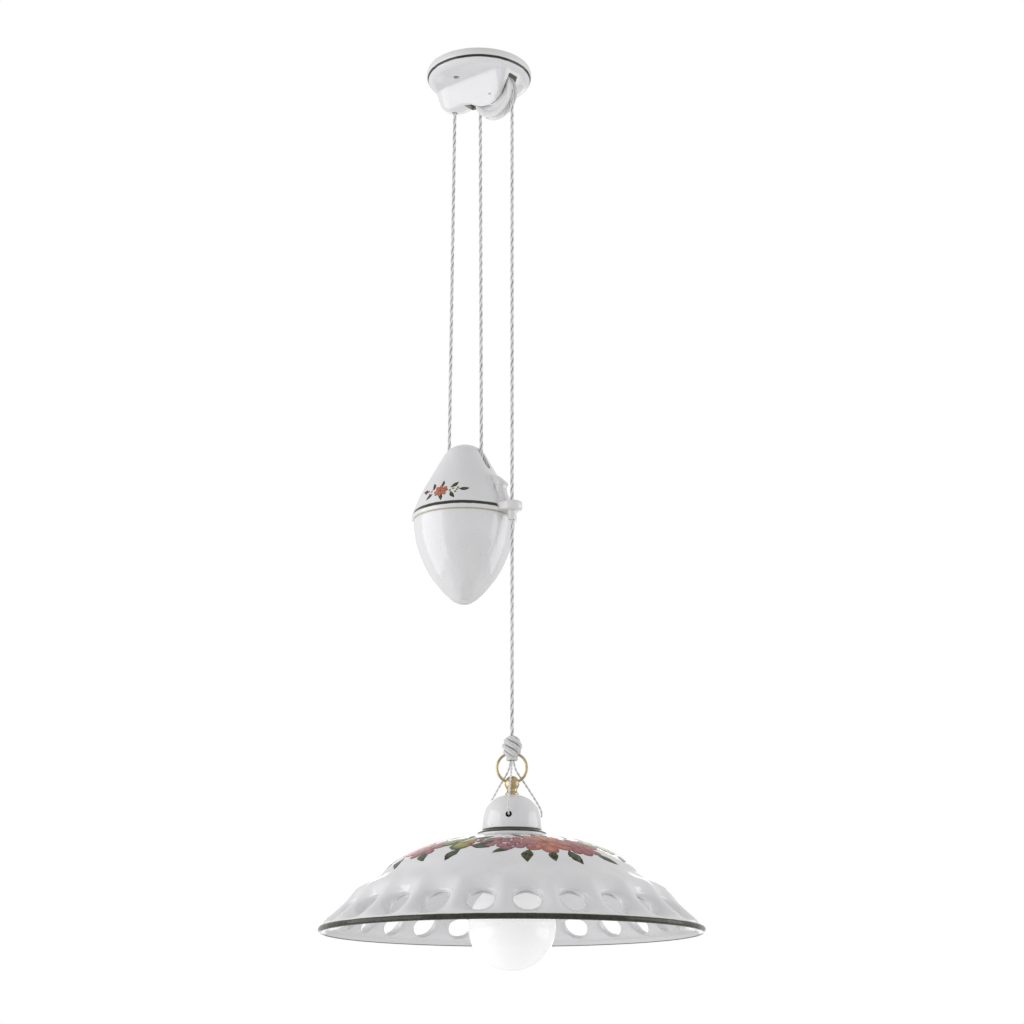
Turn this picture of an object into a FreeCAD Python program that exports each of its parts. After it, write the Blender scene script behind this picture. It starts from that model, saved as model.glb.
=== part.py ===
import FreeCAD, Part
import Sketcher
import math
import os
import sys

from FreeCAD import Placement, Rotation, Vector

# Rise and fall pendant. Origin: centre of the ceiling rose, on the ceiling. +Z up, and the cord runs in the
# XZ plane: from its anchor at -X down round the counterweight's pulley, up over the rose's pulley, and down
# at +X through the counterweight's arm to the lamp. Lengths are in millimetres.

doc = FreeCAD.newDocument("RiseAndFallPendant")
sheet = doc.addObject("Spreadsheet::Sheet", "Sizes")


# ---- sizes -------------------------------------------------------------------------------------------------


class Size:
    """A number together with the sheet formula that gives it."""

    def __init__(self, number, formula):
        self.number = float(number)
        self.formula = formula

    def __add__(self, other):
        other = as_size(other)
        return Size(self.number + other.number, f"({self.formula} + {other.formula})")

    def __sub__(self, other):
        other = as_size(other)
        return Size(self.number - other.number, f"({self.formula} - {other.formula})")

    def __mul__(self, other):
        other = as_size(other)
        return Size(self.number * other.number, f"({self.formula} * {other.formula})")

    def __truediv__(self, other):
        other = as_size(other)
        return Size(self.number / other.number, f"({self.formula} / {other.formula})")

    def __radd__(self, other):
        return as_size(other) + self

    def __rsub__(self, other):
        return as_size(other) - self

    def __rmul__(self, other):
        return as_size(other) * self

    def __neg__(self):
        return Size(-self.number, f"(0 - {self.formula})")


def as_size(value):
    """A plain number as a Size, and a Size as itself."""
    return value if isinstance(value, Size) else Size(value, f"({value!r})")


def size(name, value):
    """Writes one driving dimension into the sheet."""
    row = size.next_row
    size.next_row += 1
    sheet.set(f"A{row}", name)
    sheet.set(f"B{row}", str(value))
    sheet.setAlias(f"B{row}", name)
    return Size(value, f"Sizes.{name}")


size.next_row = 1

# cord and pulleys
cord_diameter = size("cord_diameter", 4.5)
strand_diameter = size("strand_diameter", 2.3)
joint_gap = size("joint_gap", 0.05)  # between two stretches of the cord, end to end
cord_gap = size("cord_gap", 0.3)  # between the cord and what it runs on or through
running_gap = size("running_gap", 0.05)  # radial, of a bush on its axle
seat_gap = size("seat_gap", 0.3)  # between pieces that are set in each other
axis_flat = size("axis_flat", 0.25)  # radius of the flat that closes a dome on its axis
pulley_pitch = size("pulley_pitch", 25)  # radius of the cord's centreline
pulley_flange = size("pulley_flange", 29)
pulley_width = size("pulley_width", 13)
bush_radius = size("bush_radius", 6)
rose_axle_radius = size("rose_axle_radius", 3)
weight_axle_radius = size("weight_axle_radius", 2.5)

# ceiling rose
rose_radius = size("rose_radius", 65)
rose_wall = size("rose_wall", 7)
rose_edge = size("rose_edge", 7)  # height of the straight edge
rose_depth = size("rose_depth", 16)
rose_floor = size("rose_floor", 6)
nose_reach = size("nose_reach", 57)
nose_depth = size("nose_depth", 42)
nose_round = size("nose_round", 16)
lobe_radius = size("lobe_radius", 28)
lobe_centre_x = size("lobe_centre_x", 24)
lobe_centre_depth = size("lobe_centre_depth", 28)
cheek_half = size("cheek_half", 12)
housing_half = size("housing_half", 27)
housing_taper = size("housing_taper", 38)
slot_half = size("slot_half", 8)
rose_pulley_x = size("rose_pulley_x", 27)
rose_pulley_depth = size("rose_pulley_depth", 41)
anchor_x = size("anchor_x", 39)
pocket_half = size("pocket_half", 15)
pocket_floor = size("pocket_floor", 34)
cord_hole_radius = size("cord_hole_radius", 3.2)
screw_circle = size("screw_circle", 33.5)
screw_turn = size("screw_turn", -107.5)
screw_radius = size("screw_radius", 2)
screw_head_radius = size("screw_head_radius", 3.7)

# fixing bracket
bracket_length = size("bracket_length", 112)
bracket_width = size("bracket_width", 18)
bracket_thickness = size("bracket_thickness", 2.5)
bracket_hole_circle = size("bracket_hole_circle", 48)
bracket_hole_radius = size("bracket_hole_radius", 2.75)
cable_hole_radius = size("cable_hole_radius", 7)

# terminal block
block_length = size("block_length", 20)
block_width = size("block_width", 10)
block_height = size("block_height", 9)
block_offset = size("block_offset", 18.5)

# counterweight
weight_drop = size("weight_drop", 485)  # ceiling to the top of its cap, at rest
cap_height = size("cap_height", 93)
cap_radius = size("cap_radius", 61)
cap_wall = size("cap_wall", 6)
cap_slot_in = size("cap_slot_in", 7)  # from the cord to the slot's inner end
cap_slot_out = size("cap_slot_out", 12)
cap_slot_half = size("cap_slot_half", 4.2)
weight_pulley_depth = size("weight_pulley_depth", 48)
egg_inset = size("egg_inset", 1)  # of the egg's rim under the cap's
egg_height = size("egg_height", 99.5)
egg_wall = size("egg_wall", 6)
cork_thickness = size("cork_thickness", 1.5)
ballast_below = size("ballast_below", 2.2)  # egg's rim to the ballast's top
arm_top = size("arm_top", 82.5)
arm_thickness = size("arm_thickness", 10)
arm_eye_radius = size("arm_eye_radius", 12)
web_width = size("web_width", 17)
web_top = size("web_top", 46)
guide_radius = size("guide_radius", 5)
guide_collar = size("guide_collar", 2)
guide_nozzle = size("guide_nozzle", 11)
yoke_thickness = size("yoke_thickness", 2)
yoke_half_width = size("yoke_half_width", 9)
yoke_base_depth = size("yoke_base_depth", 88)
rod_radius = size("rod_radius", 4)
nut_height = size("nut_height", 5.5)
nut_across = size("nut_across", 13)
rod_length_in_ballast = size("rod_length_in_ballast", 45)

# lamp
lamp_drop = size("lamp_drop", 905.5)  # ceiling to the top of the cup, at rest
ring_radius = size("ring_radius", 16.5)
ring_wire = size("ring_wire", 1.5)
eye_height = size("eye_height", 21.5)
eye_ball = size("eye_ball", 8.4)
eye_hole = size("eye_hole", 3)
stem_radius = size("stem_radius", 4.75)
ring_turn = size("ring_turn", 38)
knot_height = size("knot_height", 28)
knot_radius = size("knot_radius", 11.5)
cup_radius = size("cup_radius", 33)
cup_flange = size("cup_flange", 37.2)
cup_height = size("cup_height", 46.5)
cup_wall = size("cup_wall", 4.5)
cup_hole_radius = size("cup_hole_radius", 3.5)
cup_hole_depth = size("cup_hole_depth", 24.5)
cup_hole_turn = size("cup_hole_turn", -58.6)
gasket_thickness = size("gasket_thickness", 0.8)
cup_nut_across = size("cup_nut_across", 14)
cup_nut_height = size("cup_nut_height", 5)
washer_thickness = size("washer_thickness", 1.2)
shade_radius = size("shade_radius", 210)
shade_height = size("shade_height", 103.2)
shade_wall = size("shade_wall", 3.9)
shade_hole = size("shade_hole", 20.3)
crown_radius = size("crown_radius", 44)  # the flat that the cup sits on
crown_bend = size("crown_bend", 246)
crease_inset = size("crease_inset", 71.5)  # from the rim in to where the hoods begin
crease_rise = size("crease_rise", 59.7)  # and from the rim's foot up to there
shoulder_inset = size("shoulder_inset", 46.5)
shoulder_rise = size("shoulder_rise", 49.8)
hood_edge_inset = size("hood_edge_inset", 37.5)
hood_edge_rise = size("hood_edge_rise", 43.5)
rim_inset = size("rim_inset", 6)
rim_rise = size("rim_rise", 11.6)
pierce_radius = size("pierce_radius", 14)
pierce_inset = size("pierce_inset", 31.4)
pierce_rise = size("pierce_rise", 21.3)
pierce_lean = size("pierce_lean", 35)
pierce_turn = size("pierce_turn", -47)
dimple_length = size("dimple_length", 17)
dimple_flare = size("dimple_flare", 11.5)  # how much wider the dimple is at its outer end
holder_radius = size("holder_radius", 19.6)
holder_length = size("holder_length", 57)
holder_cap_radius = size("holder_cap_radius", 18)
shell_radius = size("shell_radius", 14)
bulb_radius = size("bulb_radius", 47.5)
bulb_drop = size("bulb_drop", 142.5)  # cup's top to the globe's centre
bulb_wall = size("bulb_wall", 1.2)
bulb_cap_radius = size("bulb_cap_radius", 13.1)
bulb_cap_top = size("bulb_cap_top", 58)
bulb_cap_length = size("bulb_cap_length", 26)

doc.recompute()

# places that several pieces share
weight_x = (rose_pulley_x - pulley_pitch - anchor_x) / 2
egg_radius = cap_radius - egg_inset
lamp_x = rose_pulley_x + pulley_pitch
groove_radius = pulley_pitch - cord_diameter / 2 - cord_gap
ring_centre = eye_height - 7.5 + ring_radius  # above the cup's top
knot_bottom = ring_centre + ring_radius - 8.5
knot_top = knot_bottom + knot_height
shade_top = cup_height + gasket_thickness
SIDES = (-1, 1)
PIERCINGS = 24
CONDUCTORS = 3


# ---- ways of making a piece --------------------------------------------------------------------------------


def bind(feature, **properties):
    """Ties properties of a feature to the sheet."""
    for name, value in properties.items():
        value = as_size(value)
        setattr(feature, name, value.number)
        feature.setExpression(name, value.formula)


def place(piece, x=0, y=0, z=0, turn=0, axis=Vector(0, 0, 1)):
    """Puts a piece's own origin at a place that follows the sheet."""
    piece.Placement = Placement(
        Vector(*(as_size(v).number for v in (x, y, z))), Rotation(axis, as_size(turn).number)
    )
    for name, value in (("x", x), ("y", y), ("z", z)):
        piece.setExpression(f".Placement.Base.{name}", as_size(value).formula)
    if isinstance(turn, Size):
        piece.setExpression(".Placement.Rotation.Angle", turn.formula)


def new_body(label):
    body = doc.addObject("PartDesign::Body", label)
    body.Label = label
    return body


def plane_of(body, role):
    return next(f for f in body.Origin.OriginFeatures if f.Role == role)


def new_sketch(body, role, offset=None):
    """A sketch on one of the body's own origin planes, lifted by an offset along its normal."""
    sketch = body.newObject("Sketcher::SketchObject", f"{body.Name}_outline")
    sketch.AttachmentSupport = (plane_of(body, role), [""])
    sketch.MapMode = "FlatFace"
    if offset is not None:
        offset = as_size(offset)
        sketch.AttachmentOffset = Placement(Vector(0, 0, offset.number), Rotation())
        sketch.setExpression(".AttachmentOffset.Base.z", offset.formula)
    return sketch


def hold(sketch, kind, *where):
    """A dimension of a sketch, tied to the sheet."""
    value = as_size(where[-1])
    number = sketch.addConstraint(Sketcher.Constraint(kind, *where[:-1], value.number))
    sketch.setExpression(f"Constraints[{number}]", value.formula)


def draw_outline(sketch, corners, arcs=None):
    """A closed outline. arcs gives the radius of the arc that leaves a corner: positive bulges to the left of
    the way along, negative to the right."""
    arcs = arcs or {}
    points = [Vector(as_size(a).number, as_size(b).number, 0) for a, b in corners]
    starts, ends = [], []
    for i, start in enumerate(points):
        end = points[(i + 1) % len(points)]
        if i in arcs:
            radius = as_size(arcs[i])
            chord = end - start
            left = Vector(-chord.y, chord.x, 0).normalize()
            side = 1 if radius.number > 0 else -1
            reach = abs(radius.number)
            sagitta = reach - math.sqrt(reach**2 - (chord.Length / 2) ** 2)
            middle = (start + end) * 0.5 + left * (side * sagitta)
            edge = sketch.addGeometry(Part.Arc(start, middle, end), False)
            at_start = sketch.getPoint(edge, 1).isEqual(start, 1e-6)
            starts.append((edge, 1 if at_start else 2))
            ends.append((edge, 2 if at_start else 1))
            hold(sketch, "Radius", edge, radius if side > 0 else -radius)
        else:
            edge = sketch.addGeometry(Part.LineSegment(start, end), False)
            starts.append((edge, 1))
            ends.append((edge, 2))
    for i, (a, b) in enumerate(corners):
        sketch.addConstraint(Sketcher.Constraint("Coincident", *ends[i - 1], *starts[i]))
        for kind, value, line in (("DistanceX", a, -2), ("DistanceY", b, -1)):
            if as_size(value).number == 0:
                sketch.addConstraint(Sketcher.Constraint("PointOnObject", *starts[i], line))
            else:
                hold(sketch, kind, -1, 1, *starts[i], value)


def draw_circle(sketch, x, y, radius):
    x, y, radius = as_size(x), as_size(y), as_size(radius)
    centre = Vector(x.number, y.number, 0)
    edge = sketch.addGeometry(Part.Circle(centre, Vector(0, 0, 1), radius.number), False)
    hold(sketch, "Radius", edge, radius)
    for kind, value, line in (("DistanceX", x, -2), ("DistanceY", y, -1)):
        if value.number == 0:
            sketch.addConstraint(Sketcher.Constraint("PointOnObject", edge, 3, line))
        else:
            hold(sketch, kind, -1, 1, edge, 3, value)


def dome_radius(reach, depth):
    """Radius of the ball that closes a turned outline on its axis, from how wide and how deep it is."""
    return (reach * reach + depth * depth) / (depth * 2)


def turn_outline(body, corners, arcs=None, kind="Revolution", centre=None, lean=0):
    """Turns an outline of (radius, height) corners about the body's own Z axis.

    A centre (x, z) and a lean towards +X move and tilt the outline with its axis."""
    sketch = new_sketch(body, "XZ_Plane")
    if centre:
        x, z = (as_size(v) for v in centre)
        sketch.AttachmentOffset = Placement(
            Vector(x.number, z.number, 0), Rotation(Vector(0, 0, 1), -lean)
        )
        sketch.setExpression(".AttachmentOffset.Base.x", x.formula)
        sketch.setExpression(".AttachmentOffset.Base.y", z.formula)
    draw_outline(sketch, corners, arcs)
    turned = body.newObject(f"PartDesign::{kind}", f"{body.Name}_{kind}")
    turned.Profile = sketch
    turned.ReferenceAxis = (sketch, ["V_Axis"])
    turned.Angle = 360
    return turned


def turned_piece(label, corners, arcs=None, **where):
    body = new_body(label)
    turn_outline(body, corners, arcs)
    place(body, **where)
    return body


def extrude(body, sketch, length, both_ways=False, reverse=False, cut=False, taper=None):
    """Pads or pockets a sketch of the body."""
    feature = body.newObject("PartDesign::Pocket" if cut else "PartDesign::Pad", f"{body.Name}_extrude")
    feature.Profile = sketch
    bind(feature, Length=length)
    feature.Midplane = both_ways
    feature.Reversed = reverse
    if taper is not None:
        bind(feature, TaperAngle=taper)
    return feature


def repeat_round(body, features, count):
    """Repeats features of a body evenly about its own Z axis."""
    pattern = body.newObject("PartDesign::PolarPattern", f"{body.Name}_round")
    pattern.Originals = features
    pattern.Axis = (plane_of(body, "Z_Axis"), [""])
    pattern.Angle = 360
    pattern.Occurrences = count
    body.Tip = pattern
    return pattern


def shaped(body, kind, x=0, y=0, z=0, rotation=None, **dimensions):
    """Adds or cuts a primitive, such as a sphere, at a place in the body."""
    feature = body.newObject(f"PartDesign::{kind}", f"{body.Name}_{kind}")
    bind(feature, **dimensions)
    feature.MapMode = "FlatFace"
    feature.AttachmentSupport = (plane_of(body, "XY_Plane"), [""])
    feature.AttachmentOffset = Placement(
        Vector(*(as_size(v).number for v in (x, y, z))), rotation or Rotation()
    )
    for name, value in (("x", x), ("y", y), ("z", z)):
        feature.setExpression(f".AttachmentOffset.Base.{name}", as_size(value).formula)
    return feature


def tube(label, points, diameter, **where):
    """A cord's solid: straight runs joined by tangent arcs as large as the runs allow."""
    points = [Vector(*(as_size(v).number for v in p)) for p in points]
    edges, radii, last = [], [], points[0]
    for before, corner, after in zip(points, points[1:], points[2:]):
        back, on = before - corner, after - corner
        trim = 0.45 * min(back.Length, on.Length)
        half_turn = (math.pi - back.getAngle(on)) / 2
        radii.append(trim / math.tan(half_turn))
        back.normalize()
        on.normalize()
        start, end = corner + back * trim, corner + on * trim
        bisector = (back + on).normalize()
        middle = corner + bisector * (radii[-1] / math.cos(half_turn) - radii[-1])
        edges += [Part.LineSegment(last, start).toShape(), Part.Arc(start, middle, end).toShape()]
        last = end
    edges.append(Part.LineSegment(last, points[-1]).toShape())
    path = Part.Wire(edges)
    across = as_size(diameter).number
    section = Part.Wire(Part.Circle(points[0], points[1] - points[0], across / 2).toShape())
    solid = path.makePipeShell([section], True, False)
    expected = math.pi * across**2 / 4 * path.Length
    if abs(solid.Volume / expected - 1) > 0.01:
        sys.exit(f"{label}: volume {solid.Volume:.0f}, expected {expected:.0f}")
    piece = doc.addObject("Part::Feature", label)
    piece.Label = label
    piece.Shape = solid
    place(piece, **where)
    print(f"{label}: length {path.Length:.1f} mm, bend radii {[round(r, 1) for r in radii]}")
    return piece


def straight_cord(label, start, end):
    """A taut stretch of the cord, as a cylinder from one point to another in the XZ plane."""
    (x0, z0), (x1, z1) = ((as_size(a), as_size(b)) for a, b in (start, end))
    piece = doc.addObject("Part::Cylinder", label)
    piece.Label = label
    drop, shift = z0 - z1, x1 - x0
    bind(piece, Radius=cord_diameter / 2)
    length = Size(
        math.hypot(drop.number, shift.number), f"sqrt({drop.formula} ^ 2 + {shift.formula} ^ 2)"
    )
    bind(piece, Height=length)
    lean = Size(
        math.degrees(math.atan2(-shift.number, drop.number)),
        f"(atan2(0 - {shift.formula}; {drop.formula}))",
    )
    place(piece, x1, 0, z1, lean, Vector(0, 1, 0))
    return piece


def half_loop(label, centre_x, centre_z, upper):
    """The cord's half turn on a pulley."""
    body = new_body(label)
    sketch = new_sketch(body, "XY_Plane")
    draw_circle(sketch, pulley_pitch, 0, cord_diameter / 2)
    loop = body.newObject("PartDesign::Revolution", f"{label}_turn")
    loop.Profile = sketch
    loop.ReferenceAxis = (sketch, ["V_Axis"])
    loop.Angle = 180
    loop.Reversed = upper
    place(body, centre_x, 0, centre_z)
    return body


# ---- ceiling rose ------------------------------------------------------------------------------------------

rose = new_body("ceiling_rose")
turn_outline(
    rose,
    [
        (0, 0),
        (rose_radius, 0),
        (rose_radius, -rose_edge),
        (rose_radius - 2, -(rose_edge + 3.5)),
        (rose_radius - 5, -(rose_depth - 2)),
        (rose_radius - 15, -rose_depth),
        (0, -rose_depth),
    ],
    {2: 8, 4: 28},
)
# the pulley housing: a nose over the cord's anchor and a round lobe over the pulley
housing_corners = [
    (-nose_reach, 0),
    (-nose_reach, -(nose_depth - nose_round)),
    (-nose_reach + nose_round, -nose_depth),
    (-nose_round, -nose_depth),
    (lobe_centre_x - lobe_radius * 0.5714, -lobe_centre_depth - lobe_radius * 0.8207),
    (lobe_centre_x + lobe_radius, -lobe_centre_depth),
    (lobe_centre_x + lobe_radius, 0),
]
housing_arcs = {1: -nose_round, 3: 40, 4: -lobe_radius}
middle = new_sketch(rose, "XZ_Plane")
draw_outline(middle, housing_corners, housing_arcs)
extrude(rose, middle, cheek_half * 2, both_ways=True)
for side in SIDES:
    flank = new_sketch(rose, "XZ_Plane", cheek_half * side)
    draw_outline(flank, housing_corners, housing_arcs)
    extrude(rose, flank, housing_half - cheek_half, reverse=side < 0, taper=-housing_taper)
# hollow behind the plate
turn_outline(
    rose,
    [
        (0, 1),
        (rose_radius - rose_wall, 1),
        (rose_radius - rose_wall, -(rose_depth - rose_floor)),
        (0, -(rose_depth - rose_floor)),
    ],
    kind="Groove",
)
# slot that the pulley runs in, open below and at the lamp's end
slot_sketch = new_sketch(rose, "XZ_Plane")
draw_outline(
    slot_sketch,
    [
        (-slot_half * 2.2, -(nose_depth * 2)),
        (-slot_half * 2.2, -(nose_depth - 5)),
        (rose_pulley_x - pulley_flange - 5, -(rose_depth - rose_floor) + 1),
        (rose_pulley_x + pulley_flange - 2, -(rose_depth - rose_floor) + 1),
        (rose_pulley_x + pulley_flange - 2, -(rose_depth + 4)),
        (rose_radius + 5, -(rose_depth + 4)),
        (rose_radius + 5, -(nose_depth * 2)),
    ],
)
extrude(rose, slot_sketch, slot_half * 2, both_ways=True, cut=True)
# pocket over the anchor, and the cord's way out of it
pocket_sketch = new_sketch(rose, "XY_Plane", -(rose_depth - rose_floor) + 0.5)
draw_outline(
    pocket_sketch,
    [
        (-(nose_reach - 8), -pocket_half),
        (-(slot_half * 2.2 + 5), -pocket_half),
        (-(slot_half * 2.2 + 5), pocket_half),
        (-(nose_reach - 8), pocket_half),
    ],
)
extrude(rose, pocket_sketch, pocket_floor - (rose_depth - rose_floor) + 0.5, cut=True)
shaped(rose, "SubtractiveCylinder", x=-anchor_x, z=-(nose_depth + 5), Radius=cord_hole_radius, Height=20)
# axle hole through both cheeks
shaped(
    rose,
    "SubtractiveCylinder",
    x=rose_pulley_x,
    y=housing_half + 5,
    z=-rose_pulley_depth,
    rotation=Rotation(Vector(1, 0, 0), 90),
    Radius=rose_axle_radius + running_gap,
    Height=(housing_half + 5) * 2,
)
# recessed holes for the two rose screws
screw_way = math.radians(screw_turn.number)
screw_places = [
    (
        Size(
            side * screw_circle.number * math.cos(screw_way),
            f"({side} * {screw_circle.formula} * cos({screw_turn.formula}))",
        ),
        Size(
            side * screw_circle.number * math.sin(screw_way),
            f"({side} * {screw_circle.formula} * sin({screw_turn.formula}))",
        ),
    )
    for side in SIDES
]
for screw_x, screw_y in screw_places:
    for radius, height in ((screw_radius + 0.4, rose_depth), (screw_head_radius + 0.3, 5)):
        shaped(
            rose, "SubtractiveCylinder", x=screw_x, y=screw_y, z=-(rose_depth + 1),
            Radius=radius, Height=height,
        )

# ---- what fixes the rose -----------------------------------------------------------------------------------

bracket = new_body("ceiling_bracket")
strip = new_sketch(bracket, "XY_Plane")
half_length, half_width = bracket_length / 2, bracket_width / 2
draw_outline(
    strip,
    [
        (-half_length + 5, -half_width),
        (half_length - 5, -half_width),
        (half_length, 0),
        (half_length - 5, half_width),
        (-half_length + 5, half_width),
        (-half_length, 0),
    ],
)
extrude(bracket, strip, bracket_thickness, reverse=True)
holes = new_sketch(bracket, "XY_Plane")
draw_circle(holes, 0, 0, cable_hole_radius)
for side in SIDES:
    draw_circle(holes, bracket_hole_circle * side, 0, bracket_hole_radius)
    draw_circle(holes, screw_circle * side, 0, screw_radius + 0.15)
extrude(bracket, holes, bracket_thickness, cut=True)
place(bracket, turn=screw_turn)

screws = doc.addObject("Part::MultiFuse", "rose_screws")
screws.Label = "rose_screws"
screw_parts = []
for name, (screw_x, screw_y) in zip("ab", screw_places):
    screw = turned_piece(
        f"rose_screw_{name}",
        [
            (0, -0.5),
            (screw_radius, -0.5),
            (screw_radius, -(rose_depth - 4)),
            (screw_head_radius, -(rose_depth - 4)),
            (screw_head_radius - 1, -(rose_depth - 1.8)),
            (0, -(rose_depth - 1.8)),
        ],
    )
    slot = new_sketch(screw, "XY_Plane", -(rose_depth - 1.8))
    draw_outline(slot, [(-5, -0.5), (5, -0.5), (5, 0.5), (-5, 0.5)])
    extrude(screw, slot, 1, reverse=True, cut=True)
    place(screw, screw_x, screw_y)
    screw_parts.append(screw)
screws.Shapes = screw_parts

# ---- terminal block and cord anchor ------------------------------------------------------------------------

block = new_body("terminal_block")
base = new_sketch(block, "XY_Plane")
draw_outline(base, [(0, 0), (block_length, 0), (block_length, block_width), (0, block_width)])
extrude(block, base, block_height - 3)
for pole in range(3):
    shaped(
        block, "AdditiveCylinder", x=block_length * (pole * 2 + 1) / 6, y=block_width / 2,
        Radius=block_length / 7.5, Height=block_height,
    )
for pole in range(3):
    shaped(
        block, "SubtractiveCylinder", x=block_length * (pole * 2 + 1) / 6, y=block_width / 2, z=3,
        Radius=block_length / 13, Height=block_height,
    )
block_x = -(anchor_x + block_length * 0.4)
block_z = -(rose_depth - rose_floor)
place(block, block_x, block_offset, block_z)

terminals = doc.addObject("Part::MultiFuse", "terminal_screws")
terminals.Label = "terminal_screws"
terminal_parts = []
for pole in range(3):
    terminal = turned_piece(
        f"terminal_screw_{pole}",
        [
            (0, 0),
            (block_length / 13 - 0.1, 0),
            (block_length / 13 - 0.1, block_height - 4.5),
            (0, block_height - 4.5),
        ],
        x=block_x + block_length * (pole * 2 + 1) / 6,
        y=block_offset + block_width / 2,
        z=block_z + 3,
    )
    terminal_parts.append(terminal)
terminals.Shapes = terminal_parts

turned_piece(
    "cord_anchor",
    [
        (cord_diameter / 2 + 0.1, 0),
        (cord_hole_radius + 3, 0),
        (cord_hole_radius + 3, 5),
        (cord_hole_radius + 1.5, 8),
        (cord_diameter / 2 + 0.1, 8),
    ],
    x=-anchor_x,
    z=-pocket_floor,
)

# ---- pulleys -----------------------------------------------------------------------------------------------


def pulley(label, x, z):
    """A glazed ceramic wheel with a round groove, lying with its axis along Y."""
    half, groove = pulley_width / 2, cord_diameter / 2 + cord_gap
    return turned_piece(
        label,
        [
            (bush_radius + 0.1, -half),
            (bush_radius + 6, -half),
            (bush_radius + 7.5, -half + 1.5),
            (groove_radius - 5, -half + 1.5),
            (groove_radius - 3.5, -half),
            (pulley_flange - 1, -half),
            (pulley_flange, -half + 1),
            (pulley_flange, -half + 1.6),
            (pulley_pitch, -groove),
            (pulley_pitch, groove),
            (pulley_flange, half - 1.6),
            (pulley_flange, half - 1),
            (pulley_flange - 1, half),
            (groove_radius - 3.5, half),
            (groove_radius - 5, half - 1.5),
            (bush_radius + 7.5, half - 1.5),
            (bush_radius + 6, half),
            (bush_radius + 0.1, half),
        ],
        {8: groove + 0.001},
        x=x,
        z=z,
        turn=90,
        axis=Vector(1, 0, 0),
    )


def bush(label, bore, x, z):
    """A turned brass bush in a pulley."""
    half = pulley_width / 2 + 0.5
    return turned_piece(
        label,
        [(bore, -half), (bush_radius, -half), (bush_radius, half), (bore, half)],
        x=x, z=z, turn=90, axis=Vector(1, 0, 0),
    )


def axle(label, radius, half, x, z):
    """A plain steel pin with broken edges."""
    return turned_piece(
        label,
        [
            (0, -half),
            (radius - 0.5, -half),
            (radius, -half + 0.5),
            (radius, half - 0.5),
            (radius - 0.5, half),
            (0, half),
        ],
        x=x, z=z, turn=90, axis=Vector(1, 0, 0),
    )


pulley("rose_pulley", rose_pulley_x, -rose_pulley_depth)
bush("rose_pulley_bush", rose_axle_radius + running_gap, rose_pulley_x, -rose_pulley_depth)
axle("rose_axle", rose_axle_radius, housing_half - 1, rose_pulley_x, -rose_pulley_depth)

weight_pulley_z = -(weight_drop + weight_pulley_depth)
yoke_inner = pulley_width / 2 + 1.3
pulley("weight_pulley", weight_x, weight_pulley_z)
bush("weight_pulley_bush", weight_axle_radius + running_gap, weight_x, weight_pulley_z)
axle("weight_axle", weight_axle_radius, yoke_inner + yoke_thickness + 3, weight_x, weight_pulley_z)

# ---- counterweight -----------------------------------------------------------------------------------------

cap = new_body("weight_cap")
cap_outer = [
    (0, 0),
    (axis_flat, 0),
    (16, -4.5),
    (26, -15.5),
    (cap_radius * 0.72, -cap_height * 0.516),
    (cap_radius * 0.935, -cap_height * 0.81),
    (cap_radius, -(cap_height - 6)),
    (cap_radius + 1, -(cap_height - 3)),
    (cap_radius + 0.5, -cap_height),
]
cap_inner = [
    (cap_radius - cap_wall - 1, -cap_height),
    (cap_radius - cap_wall - 1, -(cap_height - 6)),
    (cap_radius * 0.72 - cap_wall + 0.3, -cap_height * 0.55),
    (19, -20),
    (axis_flat, -8),
    (0, -8),
]
cap_bends = {1: dome_radius(16 - axis_flat, 4.5), 2: 25, 4: 159, 5: 81, 12: -dome_radius(19 - axis_flat, 12)}
turn_outline(cap, cap_outer + cap_inner, cap_bends)
# arm: a tongue from the rim to the eye that the lamp's cord runs through, with an eaved web over it
eye_x = lamp_x - weight_x
tongue = new_sketch(cap, "XY_Plane", -arm_top)
draw_outline(
    tongue,
    [
        (cap_radius - cap_wall + 1.5, -arm_eye_radius * 1.1),
        (eye_x, -arm_eye_radius),
        (eye_x, arm_eye_radius),
        (cap_radius - cap_wall + 1.5, arm_eye_radius * 1.1),
    ],
    {1: -(arm_eye_radius + 0.001)},
)
extrude(cap, tongue, arm_thickness, reverse=True)
web = new_sketch(cap, "XZ_Plane")
web_edge = eye_x - guide_radius - guide_collar - joint_gap
draw_outline(
    web,
    [
        (cap_radius * 0.66, -(web_top + 4)),
        (cap_radius * 0.79, -web_top),
        (web_edge - 1.7, -(web_top + 11)),
        (web_edge - 3.2, -(web_top + 13.5)),
        (web_edge - 2, -(arm_top - 12)),
        (web_edge, -(arm_top - 6)),
        (web_edge, -(arm_top + 2)),
        (cap_radius * 0.89, -(arm_top + 2)),
    ],
)
extrude(cap, web, web_width, both_ways=True)
shaped(
    cap, "SubtractiveCylinder", x=eye_x, z=-(arm_top + arm_thickness + 1),
    Radius=guide_radius + 0.1, Height=arm_thickness + 2,
)
# slots that the two upper cords come in by
for side in SIDES:
    cord_slot = new_sketch(cap, "XY_Plane", 1)
    near, far = pulley_pitch - cap_slot_in + cap_slot_half, pulley_pitch + cap_slot_out - cap_slot_half
    left, right = (near, far) if side > 0 else (-far, -near)
    draw_outline(
        cord_slot,
        [(left, -cap_slot_half), (right, -cap_slot_half), (right, cap_slot_half), (left, cap_slot_half)],
        {1: -(cap_slot_half + 0.001), 3: -(cap_slot_half + 0.001)},
    )
    extrude(cap, cord_slot, cap_height * 0.45, cut=True)
place(cap, weight_x, 0, -weight_drop)

egg_top = -(weight_drop + cap_height + cork_thickness)
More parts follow.
